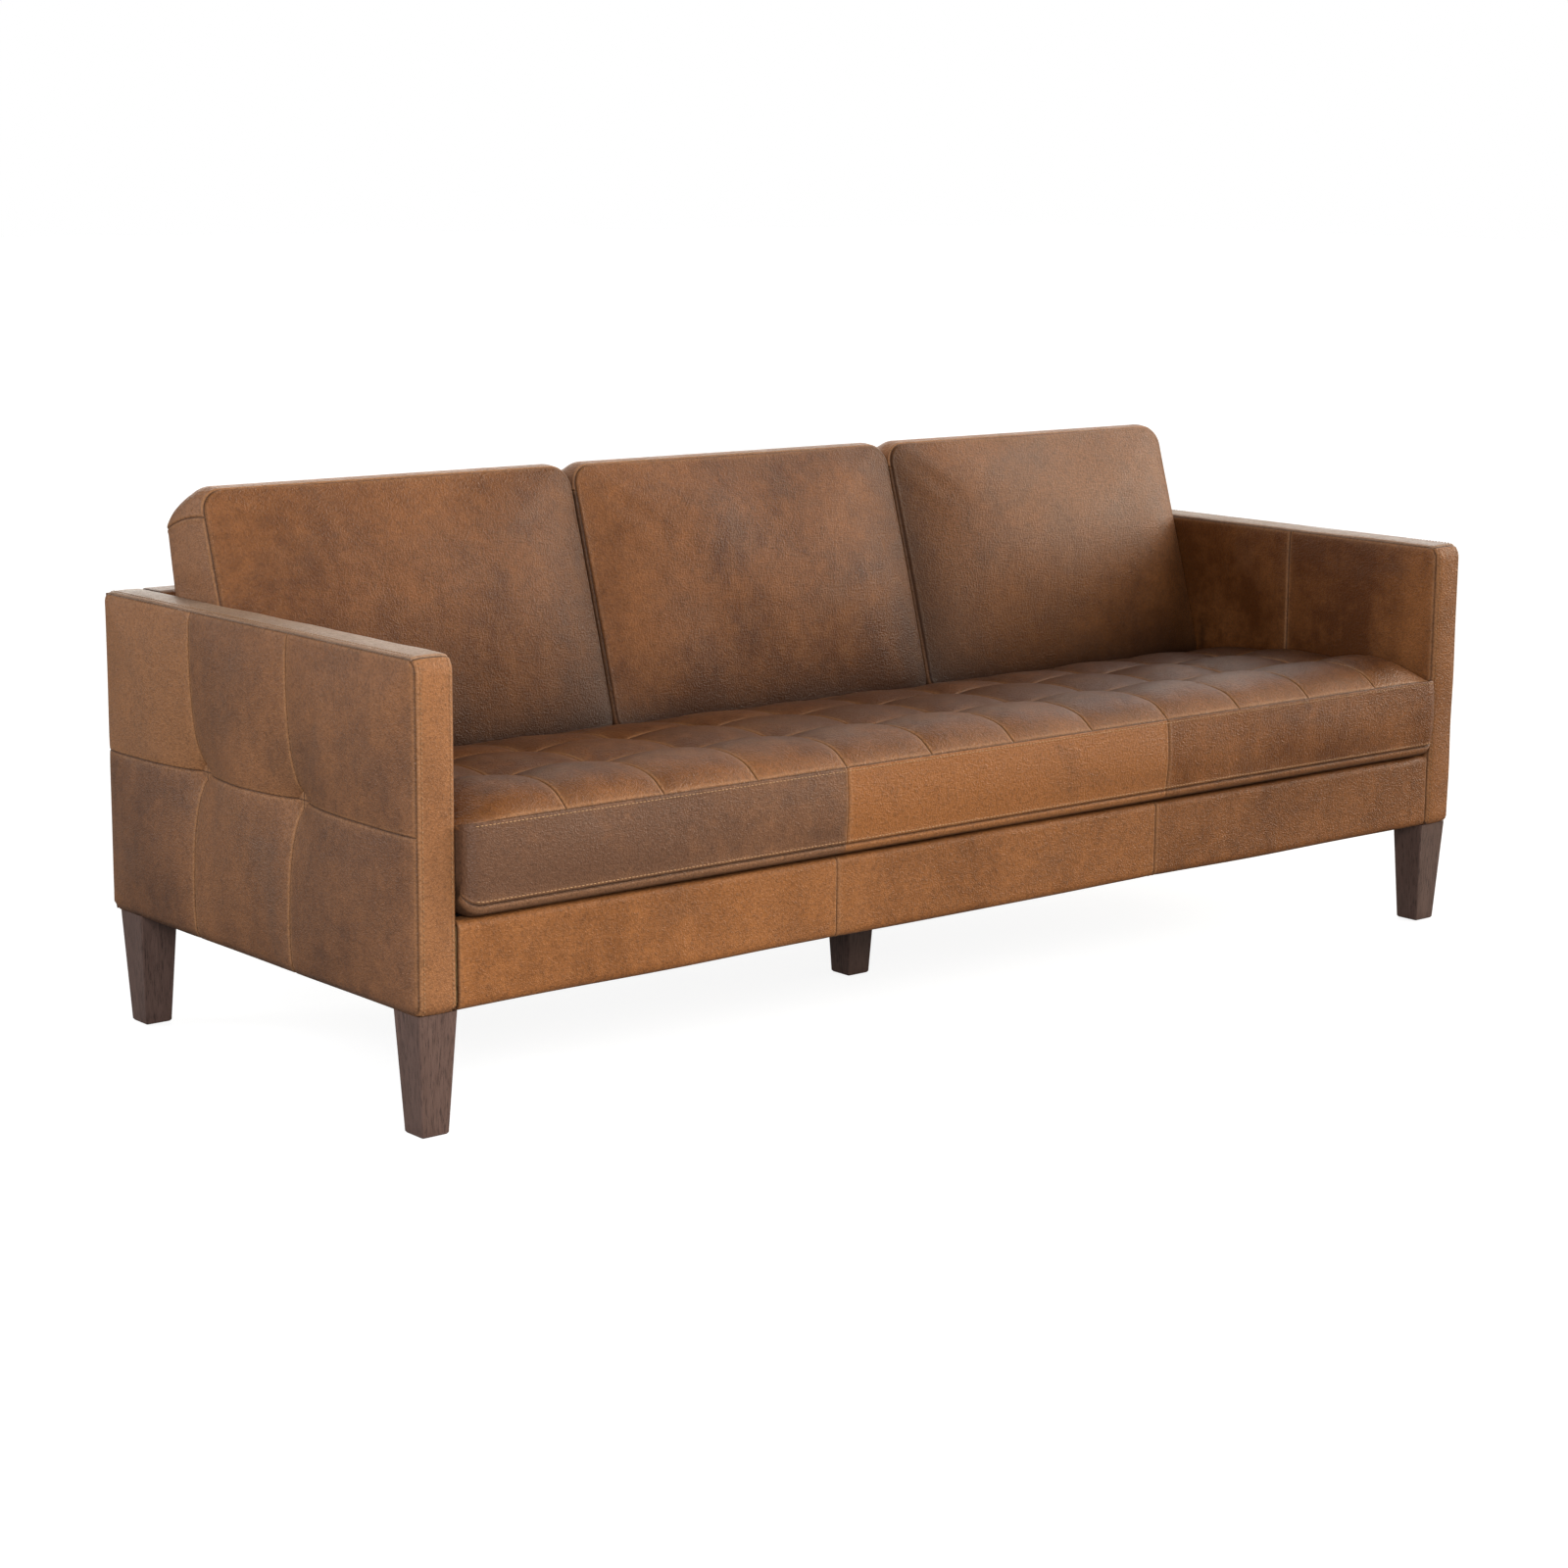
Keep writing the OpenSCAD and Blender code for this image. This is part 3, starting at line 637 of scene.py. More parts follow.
def stitches(name, lines, shade=0.8):
    """Rows of thread stitches along lines of points with normals; one mesh."""
    points, faces = [], []
    turn = 2 * math.pi * np.arange(STITCH_SIDES)[:, None] / STITCH_SIDES
    for path, normals in lines:
        along = np.concatenate([[0], np.cumsum(np.linalg.norm(np.diff(path, axis=0), axis=1))])
        for start in np.arange(STITCH_GAP, along[-1] - STITCH_LENGTH, STITCH_LENGTH + STITCH_GAP):
            s = start + STITCH_LENGTH * np.array([ring[0] for ring in STITCH_RINGS])
            centre, normal = (xyz(*(np.interp(s, along, c) for c in part.T)) for part in (path, normals))
            normal = unit(normal)
            side = np.cross(normal, unit(centre[-1] - centre[0]))
            for c, n, w, (_, lift, girth) in zip(centre, normal, side, STITCH_RINGS):
                ring = w * np.cos(turn) * girth * STITCH_FLAT + n * (lift + np.sin(turn) * girth)
                points.append(c + ring * STITCH_R)
            faces += tube_faces(len(s), STITCH_SIDES, (len(points) - len(s)) * STITCH_SIDES)
    return add_piece(name, points, faces, (), material=THREAD, tone=shade)


# ---- arms

ARM_CROWN = 0.013
ARM_START = 0.6
ARM_SWELL = 0.007
ARM_ROUGH = 0.013
# Tone of each cell of an arm's outer face, lower row then upper row, from the front back; the upper rear cell
# is painted much paler, as painted light from the rear
ARM_TONES = np.array([[0.36, 0.42, 0.25], [0.48, 0.56, 0.96]])
ARM_FRONT_R = 0.019
ARM_PANEL_IN = 0.0255
ARM_INNER_SEAM = -0.081
CREASE_TOP = 0.50
# The point of an arm's outline where its front band meets its top band
CORNER_POINT = 18
BAND_STITCH_IN = 0.0065
# Tone and painted sheen of each arm's front band, by side; only the left band gets painted sheen
FRONT_BAND_LOOKS = {-1: {"tone": 0.74, "veil": 0.08}, 1: {"tone": 0.66, "veil": 0.0}}


def drawn_in(z, low, high, low_r, high_r):
    """How far the outline draws in at height z, because of the rounded corners."""
    return rounded_in(z - (high - high_r), high_r) + rounded_in(low + low_r - z, low_r)


def near_end(distance):
    """1 at the end of an arm's side, fading to 0 a little way in."""
    return share(1 - distance / 0.06) ** 1.5


def arm_outer_form(side, ys, zs, size):
    """The tufted outer face of an arm before its seams, over stations in depth and height."""
    z, y = lattice(zs, ys)
    y0, y1, z0, z1 = ys[0], ys[-1], zs[0], zs[-1]
    draw = drawn_in(z, z0, z1, 0.012, ARM_FRONT_R)
    draw_back = drawn_in(z, z0, z1, 0.010, 0.015)
    y = y + draw * near_end(y - y0) - draw_back * near_end(y1 - y)
    border = np.maximum(np.minimum.reduce([y - y0 - draw * 0.9, y1 - y - draw_back * 0.9, z1 - z]), 0)
    low_edge = z - z0
    out = size * ARM_CROWN * (1 - near(border, 0.030)) * (1 - near(low_edge, 0.035))
    out -= rolled(border) + rolled(low_edge, 0.008, 0.004)
    tuft = np.min([np.hypot(y - c, z - ARM_ROW) for c in ARM_COLUMNS], axis=0)
    col, row = nearest(y, ARM_COLUMNS), np.abs(z - ARM_ROW)
    close = near(tuft, 0.12)
    fade = 1 - 0.75 * near(np.minimum(border, low_edge), 0.05)
    out -= 0.035 * np.exp(-(tuft / 0.046) ** 0.80)
    out -= (0.0032 + 0.003 * close) * fade * near(col, 0.014)
    out -= (0.0030 + 0.004 * close) * fade * near(row, 0.013)
    return xyz(side * (X_OUT + out), y, z), border, low_edge, tuft, col, row


def arm_outer_panel(side, name):
    """The outer face of an arm: three columns by two rows of leather, pulled in at two crossings."""
    y0, y1 = Y_FRONT + EDGE_IN, Y_REAR - EDGE_IN
    z0, z1 = Z_BASE, Z_ARM - EDGE_IN
    size = ARM_START
    ys_rough = ticks(y0, y1, ARM_COLUMNS, ARM_ROUGH, ARM_ROUGH)
    zs_rough = ticks(z0, z1, (ARM_ROW,), ARM_ROUGH, ARM_ROUGH)
    sheet, border, low_edge, tuft, col, row = arm_outer_form(side, ys_rough, zs_rough, size)
    hold = np.where((col < 0.002) | (row < 0.002), 0.75, 0.0)
    hold = np.where((tuft < 0.004) | (border < 0.008) | (low_edge < 0.008), 1.0, hold)
    shift = swell_sheet(sheet, (-side, 0, 0), hold, ARM_SWELL)

    ys = ticks(y0, y1, (y0, *ARM_COLUMNS, y1))
    zs = ticks(z0, z1, (ARM_ROW, z1))
    front, border, low_edge, tuft, col, row = arm_outer_form(side, ys, zs, size)
    front += carry(shift, spread(zs_rough, zs), spread(ys_rough, ys))
    y, z = front[..., 1], front[..., 2]
    col_groove, col_wear, col_dark = seam_marks(col)
    row_groove, row_wear, row_dark = seam_marks(row)
    lift = 0.0010 * ripple(front * (0, 1, 1), 3 + side, 26) * np.minimum(border / 0.05, 1)
    front[..., 0] += side * (lift - np.maximum(col_groove * 1.25, row_groove))
    edge_wear = seam_marks(border + 0.0005)[1]
    wear = most(col_wear * 1.25, row_wear * 0.7, edge_wear * 0.8) + 0.25 * near(tuft, 0.05)
    # Painted light: the whole upper rear cell is painted paler still, through the wear paint
    wear += 0.28 * share((z - ARM_ROW) / 0.01) * share((y - ARM_COLUMNS[1]) / 0.01)
    dark = most(col_dark, row_dark, border_line(border))
    tone = ARM_TONES[(zs > ARM_ROW).astype(int)[:, None], np.searchsorted(ARM_COLUMNS, ys)[None, :]]
    nodes = f"{name}_outer_panel", f"{name}_foam"
    # A little painted sheen over the whole panel
    panel = slab(f"{name}_outer_leather", front, xyz(side * (X_OUT - ARM_PANEL_IN), y, z), nodes, side < 0,
                 tone=tone, wear=wear, dark=dark, veil=0.14)


def arm_outline():
    """Side outline of an arm from under its front, over the top, to its back edge: points and normals."""
    f, r, b = FOOT_R, ARM_R, REAR_R
    return np.concatenate([
        [(Y_FRONT + 0.022, Z_BASE, 0.0, -1.0)], arc(Y_FRONT + f, Z_BASE + f, f, -90, -180, 9),
        arc(Y_FRONT + r, Z_ARM - r, r, 180, 90, 13), arc(Y_REAR - b, Z_ARM - b, b, 90, 30, 8)])


def band(side, name, label, start, end, corner, wear, **looks):
    """A strip of leather round the arm's edge, between two seams; returns its two lines of stitches."""
    outline = arm_outline()
    x0, x1 = X_IN + 0.003, X_OUT - 0.004
    stations = ticks(start, end, (corner,), coarse=0.009)
    xs = ticks(x0, x1, (x0, x1), coarse=0.006, fine=0.0012, reach=0.003)
    s, x = lattice(stations, xs)
    inside = np.minimum(x - x0, x1 - x)
    groove, seam_wear, seam_dark = seam_marks(np.abs(s - corner))
    height = 0.0022 * (1 - near(inside, 0.012)) - rolled(inside, 0.007, 0.0035)
    height -= 0.0007 * bell(inside - BAND_STITCH_IN, 0.0013) + groove
    height += 0.0006 * ripple(xyz(x, *follow(outline, s)[:2]), 11 + side, 40)
    grids = laid(outline, s, side * x, height, 0.006)
    slab(f"{name}_{label}_leather", *grids, (f"{name}_{label}",), side < 0,
         wear=share(np.maximum(seam_wear, seam_marks(inside + 0.0004)[1]) + wear),
         dark=np.maximum(seam_dark * 1.1, border_line(inside + 0.0008)), **looks)
    y, z, ny, nz = follow(outline, stations)
    return [(xyz(side * x, y + ny * 0.0009, z + nz * 0.0009), xyz(0, ny, nz))
            for x in (x1 - BAND_STITCH_IN, x0 + BAND_STITCH_IN)]


def arm_inner_panel(side, name):
    """The inner face of an arm, with an upright seam and a crease below, where the cushions press into it."""
    y0, y1 = Y_FRONT + EDGE_IN, Y_BACK - 0.006
    z0, z1 = Z_BASE + 0.002, Z_ARM - EDGE_IN
    ys = ticks(y0, y1, (y0, ARM_INNER_SEAM), coarse=0.014)
    zs = ticks(z0, z1, (z1,), coarse=0.016)
    z, y = lattice(zs, ys)
    draw = rounded_in(z - (z1 - ARM_FRONT_R), ARM_FRONT_R)
    y = y + draw * near_end(y - y0)
    border = np.maximum(np.minimum(y - y0 - draw * 0.9, z1 - z), 0)
    seam = np.abs(y - ARM_INNER_SEAM)
    groove, wear, dark = seam_marks(seam)
    pinch = bell(y - Y_CREASE, 0.004) * share((CREASE_TOP - z) / 0.03)
    out = 0.0015 * (1 - near(border, 0.03)) - rolled(border) - 0.0018 * near(seam, 0.012)
    out += 0.0006 * ripple(xyz(0, y, z), 7 + side, 22) - groove - 0.003 * pinch
    front, back = xyz(side * (X_IN - out), y, z), xyz(side * (X_IN + 0.0095), y, z)
    # Painted shade: the panel is dark over most of it, paler only towards the front where light reaches it,
    # and darker still in the crease
    slab(f"{name}_inner_leather", front, back, (f"{name}_inner_panel",), side > 0,
         tone=np.where(y < ARM_INNER_SEAM, 0.02 + 0.40 * share((-0.24 - y) / 0.14), 0.08),
         wear=np.maximum(wear, seam_marks(border + 0.0005)[1]),
         dark=most(dark, border_line(border), 0.6 * pinch))


def make_arm(side, name):
    arm_outer_panel(side, name)
    arm_inner_panel(side, name)
    s = walked(arm_outline())
    corner = s[CORNER_POINT]
    front_rows = band(side, name, "front_band", 0.0, corner, corner, 0.18, **FRONT_BAND_LOOKS[side])
    # The top band is painted with full sheen, a greyish painted highlight
    top_rows = band(side, name, "top_band", corner + 0.0003, s[-1], corner, 0.26, tone=0.48, veil=1.0)
    stitches(f"{name}_stitches", front_rows + top_rows[:1], 0.25)


# ---- rail, back wall

def long_cover(label, outline, stations, across, wave, dip, roll, line, tone, end_wear=0.0, even_wear=0.0):
    """Three lengths of leather laid over an outline, from arm to arm.

    wave is the size, seed and pace of its unevenness, roll the reach and depth of its turn down at the arms,
    and line the darkness and width of the seam there.
    """
    x, s = lattice(ticks(-X_IN, X_IN, (-X_IN, *PANEL_SEAMS, X_IN), coarse=across), stations)
    seam, end = nearest(x, PANEL_SEAMS), X_IN - np.abs(x)
    groove, wear, dark = seam_marks(seam)
    size, seed, pace = wave
    height = size * ripple(xyz(x, s, 0), seed, pace) - groove - dip * near(seam, 0.01) - rolled(end, *roll)
    grids = laid(outline, s, x, height, 0.004)
    nodes = f"{label}_cover", f"{label}_foam"
    cover = slab(f"{label}_leather", *grids, nodes, True, tone=lengths(x, *tone),
                 wear=np.maximum(wear, end_wear * seam_marks(end)[1]) + even_wear,
                 dark=np.maximum(dark, line[0] * bell(end, line[1])))


def rail_cover():
    """The front rail's cover, turned under at the bottom."""
    f, r = FOOT_R, 0.008
    outline = np.concatenate([
        [(Y_FRONT + 0.022, Z_BASE, 0, -1)], arc(Y_FRONT + f, Z_BASE + f, f, -90, -180, 8),
        arc(Y_FRONT + r, Z_DECK - r, r, 180, 90, 8), [(Y_FRONT + 0.032, Z_DECK, 0, 1)]])
    long_cover("front_rail", outline, ticks(0, walked(outline)[-1], coarse=0.006), 0.014,
               wave=(0.0012, 21, 18), dip=0.0012, roll=(0.005, 0.002), line=(0.7, 0.0018),
               tone=(0.80, 0.74, 0.38), end_wear=0.6, even_wear=0.10)


def outside_back():
    """The outside back: one wide panel of three lengths of leather, rolled over at its edges."""
    x1, z1 = X_OUT - 0.004, Z_ARM - EDGE_IN
    xs = ticks(-x1, x1, (-x1, *PANEL_SEAMS, x1), coarse=0.014)
    z, x = lattice(ticks(Z_BASE, z1, (z1,), coarse=0.012), xs)
    border = np.minimum(x1 - np.abs(x), z1 - z)
    low_edge = z - Z_BASE
    seam = nearest(x, PANEL_SEAMS)
    groove, wear, dark = seam_marks(seam)
    _, edge_wear, edge_dark = seam_marks(border + 0.0005)
    out = 0.0040 * (1 - near(border, 0.05)) * (1 - near(low_edge, 0.05))
    out += 0.0012 * ripple(xyz(x, z, 0), 31, 9) * np.minimum(border / 0.08, 1)
    out -= rolled(border, 0.014, 0.006) + rolled(low_edge, 0.010, 0.006) + groove + 0.002 * near(seam, 0.012)
    front = xyz(x, Y_BACK - 0.001 + out, z)
    back = xyz(x, Y_BACK - 0.008 - rolled(low_edge, 0.010, 0.004), z)
    slab("outside_back_leather", front, back, ("outside_back_cover",), True,
         tone=lengths(x, 0.44, 0.52, 0.40), wear=np.maximum(wear, 0.8 * edge_wear),
         dark=np.maximum(dark, edge_dark))


def back_wall_top():
    """The leather over the top of the back wall and down its inner face."""
    r = 0.012
    outline = np.concatenate([
        [(Y_WALL, Z_DECK + 0.11, -1, 0)], arc(Y_WALL + r, Z_ARM - r, r, 180, 90, 9),
        [(Y_BACK - 0.006, Z_ARM - 0.0005, 0.3, 1)]])
    end = walked(outline)[-1]
    long_cover("back_wall", outline, ticks(0, end, (end,), coarse=0.010), 0.016,
               wave=(0.0008, 41, 16), dip=0.0, roll=(0.006, 0.003), line=(0.8, 0.003),
               tone=(0.45, 0.45, 0.45))


# ---- seat

# Height of the tufting lines at a few depths; a smooth curve joins them
SEAT_LINE_Y = (SEAT.y, SEAT.y + 0.030, SEAT.y + 0.085, *SEAT_ROWS, 0.135, 0.36)
SEAT_LINE_Z = (0.445, 0.466, 0.4765, 0.471, 0.4635, 0.439, 0.422, 0.412)
SEAT_SEAM_Z = 0.328
SEAT_TUCK_Z = 0.3075
SEAT_REAR_Y = Y_WALL - 0.006
SEAT_HALF = SEAT_TOP.x - 0.001
SEAT_END_R = 0.026
SEAT_MID_Z = 0.380
SEAT_HALF_HEIGHT = 0.072
SEAT_LINES_X = np.array([-X_IN, *SEAT_COLUMNS, X_IN])
SEAT_LINES_Y = np.array([SEAT.y, *SEAT_ROWS, 0.17])
SEAT_START = 0.7
SEAT_SWELL = 0.012
SEAT_ROUGH = (0.018, 0.018)
SEAT_FINE = (0.010, 0.0013)
SEAT_STITCH_IN = 0.0055
# Steps in depth and height from the lower seam, as the leather turns under the seat
SEAT_TUCK = np.array([(-0.0005, -0.003), (0.0005, -0.007), (0.003, -0.011), (0.008, -0.015), (0.016, -0.018),
                      (0.026, SEAT_TUCK_Z - SEAT_SEAM_Z)])


def seat_top(y):
    """Height of the tufting lines at any depth."""
    xs, zs = np.array(SEAT_LINE_Y), np.array(SEAT_LINE_Z)
    slope = np.diff(zs) / np.diff(xs)
    m = np.concatenate([[slope[0]], (slope[1:] + slope[:-1]) / 2, [slope[-1]]])
    i = np.clip(np.searchsorted(xs, y) - 1, 0, len(xs) - 2)
    h = xs[i + 1] - xs[i]
    far, rise, fall = hermite(share((y - xs[i]) / h))
    return zs[i] + far * (zs[i + 1] - zs[i]) + h * (rise * m[i] + fall * m[i + 1])


def seat_rise(z):
    """0 at the lower seam of the seat's front and 1 at its upper one."""
    return share((z - SEAT_SEAM_Z) / (SEAT_LINE_Z[0] - SEAT_SEAM_Z))


def seat_profile(spacing):
    """The seat's outline in Y and Z, from the back over the top, down the front, under and up again.

    Returns the points and how many of them lie on the top, and on the top and front together.
    """
    top_y = ticks(SEAT.y, SEAT_REAR_Y, (SEAT.y, *SEAT_ROWS), *spacing)[::-1]
    top_z = seat_top(top_y)
    ends = SEAT_SEAM_Z, SEAT_LINE_Z[0]
    face_z = ticks(*ends, ends, *spacing)[::-1][1:]
    face_y = SEAT.y - 0.005 * hump(seat_rise(face_z)) ** 0.6
    under_y = np.linspace(SEAT.y + 0.05, SEAT_REAR_Y - 0.01, 24)
    rear_z = np.linspace(SEAT_TUCK_Z + 0.01, top_z[0] - 0.012, 6)
    outline = np.concatenate([xyz(top_y, top_z), xyz(face_y, face_z), SEAT_TUCK + (SEAT.y, SEAT_SEAM_Z),
                              xyz(under_y, SEAT_TUCK_Z), xyz(SEAT_REAR_Y, rear_z)])
    return outline, len(top_y), len(top_y) + len(face_y)


def seat_stations(spacing, steps):
    """Stations across the seat: at every seam, and so many steps round each of its two ends."""
    xs = ticks(-SEAT_HALF, SEAT_HALF, (*SEAT_COLUMNS, *PANEL_SEAMS), *spacing)
    ends = SEAT_HALF - SEAT_END_R * (1 - np.cos(np.linspace(0, math.pi / 2, steps)))
    xs = xs[np.abs(xs) < SEAT_HALF - SEAT_END_R - 0.002]
    return np.array(sorted(set(np.round(np.concatenate([xs, ends, -ends]), 6))))


def seat_form(xs, profile, size):
    """The seat before its seams: stations across by the outline in depth. size scales the puffs."""
    outline, n_top, _ = profile
    x, k = lattice(xs, np.arange(len(outline)))
    y, z = outline[k, 0], outline[k, 1]
    base = xyz(x, y, z)
    tuft = np.min([np.hypot(nearest(x, SEAT_COLUMNS), y - r) for r in SEAT_ROWS], axis=0)
    col, row = nearest(x, SEAT_COLUMNS), nearest(y, SEAT_ROWS)
    front_fade = share((y - SEAT.y) / 0.05)
    rear = np.where(y > SEAT_ROWS[0], 0.75, 1.0)
    puff = size * pillow(y, SEAT_LINES_Y) ** 0.7 * (0.0045 * rear + 0.0060 * pillow(x, SEAT_LINES_X) ** 0.8)
    lift = puff - 0.012 * np.exp(-(tuft / 0.028) ** 0.9) - 0.004 * front_fade * near(col, 0.012)
    lift -= 0.0030 * near(row, 0.012)
    lift -= 0.040 * share(1 - (SEAT_HALF - np.abs(x)) / 0.10) ** 2 * front_fade ** 0.5
    normals = unit(np.cross(np.gradient(base, axis=0), np.gradient(base, axis=1)))
    normals = np.where(normals[:, :1, 2:3] > 0, normals, -normals)
    shape = base + normals * np.where(k < n_top, lift, 0)[..., None]
    inset = rounded_in(np.abs(x) - (SEAT_HALF - SEAT_END_R), SEAT_END_R)
    mid_y, half_y = (SEAT.y + SEAT_REAR_Y) / 2, (SEAT_REAR_Y - SEAT.y) / 2
    shape[..., 1] = mid_y + (shape[..., 1] - mid_y) * (1 - 0.7 * inset / half_y)
    ease = np.where(shape[..., 2] < SEAT_MID_Z, 0.85, 0.12) / SEAT_HALF_HEIGHT
    shape[..., 2] = SEAT_MID_Z + (shape[..., 2] - SEAT_MID_Z) * (1 - ease * inset)
    return shape, base, normals, tuft, col, row


def seat_way(profile):
    """How far along the outline each of its points is, measured the same on a coarse and a fine outline."""
    outline, n_top, n_front = profile
    way = np.where(np.arange(len(outline)) < n_top, SEAT_REAR_Y - outline[:, 0],
                   SEAT_REAR_Y - SEAT.y + SEAT_LINE_Z[0] - outline[:, 1])
    rest = np.arange(len(outline)) - n_front + 1
    return np.where(rest > 0, way[n_front - 1] + 0.01 * rest, way)


def swelled_seat(xs, profile, size):
    """How far the cloth simulation moves each point of the seat's fine form."""
    rough = seat_profile(SEAT_ROUGH)
    outline, n_top, n_front = rough
    xs_rough = seat_stations(SEAT_ROUGH, 4)
    plain, _, _, tuft, col, row = seat_form(xs_rough, rough, size)
    k = np.arange(len(outline))[None, :]
    hold = np.where(tuft < 0.004, 1.0, np.where((col < 0.002) | (row < 0.002), 0.75, 0.0))
    hold = np.where((k >= n_top - 1) & (k < n_front - 1), 0.15, hold)
    hold = np.where((k == n_top - 1) | (k >= n_front - 1) | (k < 12), 1.0, hold)
    hold = np.where(np.abs(xs_rough)[:, None] > SEAT_HALF - 0.012, 1.0, hold)
    shift = swell(plain, tube_faces(*plain.shape[:2]), hold, SEAT_SWELL)
    way, way_rough = seat_way(profile), seat_way(rough)
    return carry(shift, spread(xs_rough, xs), spread(way_rough, np.clip(way, 0, way_rough[-1])))


def make_seat():
    """The bench cushion, as one closed form."""
    size = SEAT_START
    profile = seat_profile(SEAT_FINE)
    outline, n_top, n_front = profile
    xs = seat_stations(SEAT_FINE, 10)
    shape, base, normals, tuft, col, row = seat_form(xs, profile, size)
    x, y, z = base[..., 0], base[..., 1], base[..., 2]
    k = np.arange(len(outline))[None, :]
    top, face = k < n_top, (k >= n_top - 1) & (k < n_front)
    shape += swelled_seat(xs, profile, size) * (k < n_front)[..., None]
    front_fade = share((y - SEAT.y) / 0.05)
    bulk = hump(seat_rise(z))
    crease = bell(x + 0.42, 0.004) * bulk
    box_seam = nearest(x, PANEL_SEAMS)
    groove, worn, line = seam_marks(np.stack([col, row, np.abs(y - SEAT.y)]))
    box_groove, box_wear, box_dark = seam_marks(box_seam)
    low_groove, low_wear, low_dark = seam_marks(np.abs(z - SEAT_SEAM_Z))
    lift = 0.0014 * ripple(base * (1, 1, 0), 51, 30) * front_fade - groove.max(0)
    sides = 0.0016 * ripple(base * (1, 0, 1), 52, 13) * bulk - 0.0014 * near(box_seam, 0.012) * bulk
    sides += 0.0006 * crease - box_groove - low_groove
    shape += normals * np.where(top, lift, np.where(face, sides, 0))[..., None]
    worn[0] *= 1.5
    edge_wear = 0.22 * near(y - SEAT.y, 0.03)
    wear = np.maximum(np.where(top, worn.max(0) + edge_wear, 0),
                      np.where(face, most(box_wear, low_wear * 0.7, 0.25 * crease), 0))
    wear = np.where((k >= n_front) & (k < n_front + len(SEAT_TUCK)), 0.35, wear)
    # Painted shade in the tuft dimples; beside it the top is darkened a little all over, and more towards the
    # right
    depth = 0.30 * near(tuft, 0.010) + 0.08 + 0.14 * share(x + 0.4) * front_fade
    dark = np.maximum(np.where(top, line.max(0) + depth, 0),
                      np.where(face, np.maximum(box_dark * 0.7, low_dark), 0))
    # Painted shade under the seat, beyond its tucked-under strip
    dark = np.where(k >= n_front + 3, 0.7, dark)
    tone = np.where(top, 0.08 + 0.46 * near(y - SEAT.y, 0.05), lengths(x, 0.06, 1.12, 0.34))
    # Painted sheen on the left length of the front
    veil = np.where(top, 0.0, lengths(x, 0.17, 0.0, 0.0))
    seat = add_piece("seat_cushion", shape, tube_faces(*shape.shape[:2]), ("seat_cover", "seat_foam"),
                     tone=tone, wear=wear, dark=dark, veil=veil)
    # Two rows of stitches follow the finished front: under its top seam, and over its lower one
    lines = []
    for level in (SEAT_LINE_Z[0] - SEAT_STITCH_IN, SEAT_SEAM_Z + SEAT_STITCH_IN):
        j = n_top - 1 + int(np.argmin(np.abs(outline[n_top - 1:n_front, 1] - level)))
        path = shape[np.abs(xs) < SEAT_HALF - 0.010, j] + (0, -0.0002, 0)
        lines.append((path, np.tile([0, -1.0, 0], (len(path), 1))))
    stitches("seat_stitches", lines)


# ---- back cushions

RAKE = math.radians(16.9)
FACING = np.array([0, -math.cos(RAKE), math.sin(RAKE)])
CUSHION_SEAM_IN = 0.0022
CUSHION_HALF = (CUSHION_TOP.x - CUSHION.x) / 2 - CUSHION_SEAM_IN
CUSHION_PITCH = CUSHION_TOP.x - CUSHION.x + 0.003
CUSHION_LENGTH = 0.4405
CUSHION_MIDDLE = CUSHION_LENGTH / 2
CUSHION_TOP_R = 0.034
CUSHION_BACK_R = 0.072
CUSHION_FOOT_R = 0.022
CUSHION_DEPTH = 0.135
CUSHION_CROWN = 0.034
CUSHION_START = 0.74
CUSHION_SWELL = 0.022
GUSSET_SEAM_V = 0.398
GUSSET_FREE_V = 0.285
# Rings over the front and the back stop a little short of their middles, which a cap closes
INNER_RING = 0.985


def outline_loop(r):
    """A cushion's outline, its top corners of radius r, walked once round from the middle of its foot."""
    h, top, f = CUSHION_HALF, CUSHION_LENGTH, CUSHION_FOOT_R

    def line(u0, v0, u1, v1, *normal):
        t = np.linspace(0, 1, 60)[1:-1]
        return xyz(u0 + (u1 - u0) * t, v0 + (v1 - v0) * t, *normal)

    right = np.concatenate([
        line(0, 0, h - f, 0, 0, -1), arc(h - f, f, f, -90, 0, 24),
        line(h, f, h, top - r, 1, 0), arc(h - r, top - r, r, 0, 90, 60)])
    return np.concatenate([right, line(h - r, top, r - h, top, 0, 1), right[::-1] * (-1, 1, -1, 1)])


def cushion_loops():
    """A cushion's front and back outlines at stations round it, and how far each is from a gusset seam."""
    tables = outline_loop(CUSHION_TOP_R), outline_loop(CUSHION_BACK_R)
    u, v = tables[0][:, 0], tables[0][:, 1]
    s = walked(tables[0])
    high = (np.abs(u) > CUSHION_HALF - CUSHION_TOP_R) & (v > 0.3)
    right = high & (u > 0)
    turn = s[right][np.argmin(np.abs(v[right] - GUSSET_SEAM_V))]
    turns = turn, s[-1] - turn
    around = np.array(sorted({*ticks(0, s[-1], turns, coarse=0.009)[:-1].round(5), *s[high][::3].round(5)}))
    around = around[np.concatenate([[True], np.diff(around) > 0.0004])]
    loops = [np.array([np.interp(around, s, column) for column in table.T]) for table in tables]
    for loop in loops:
        loop[2:] /= np.hypot(loop[2], loop[3])
    return loops, nearest(around, turns)


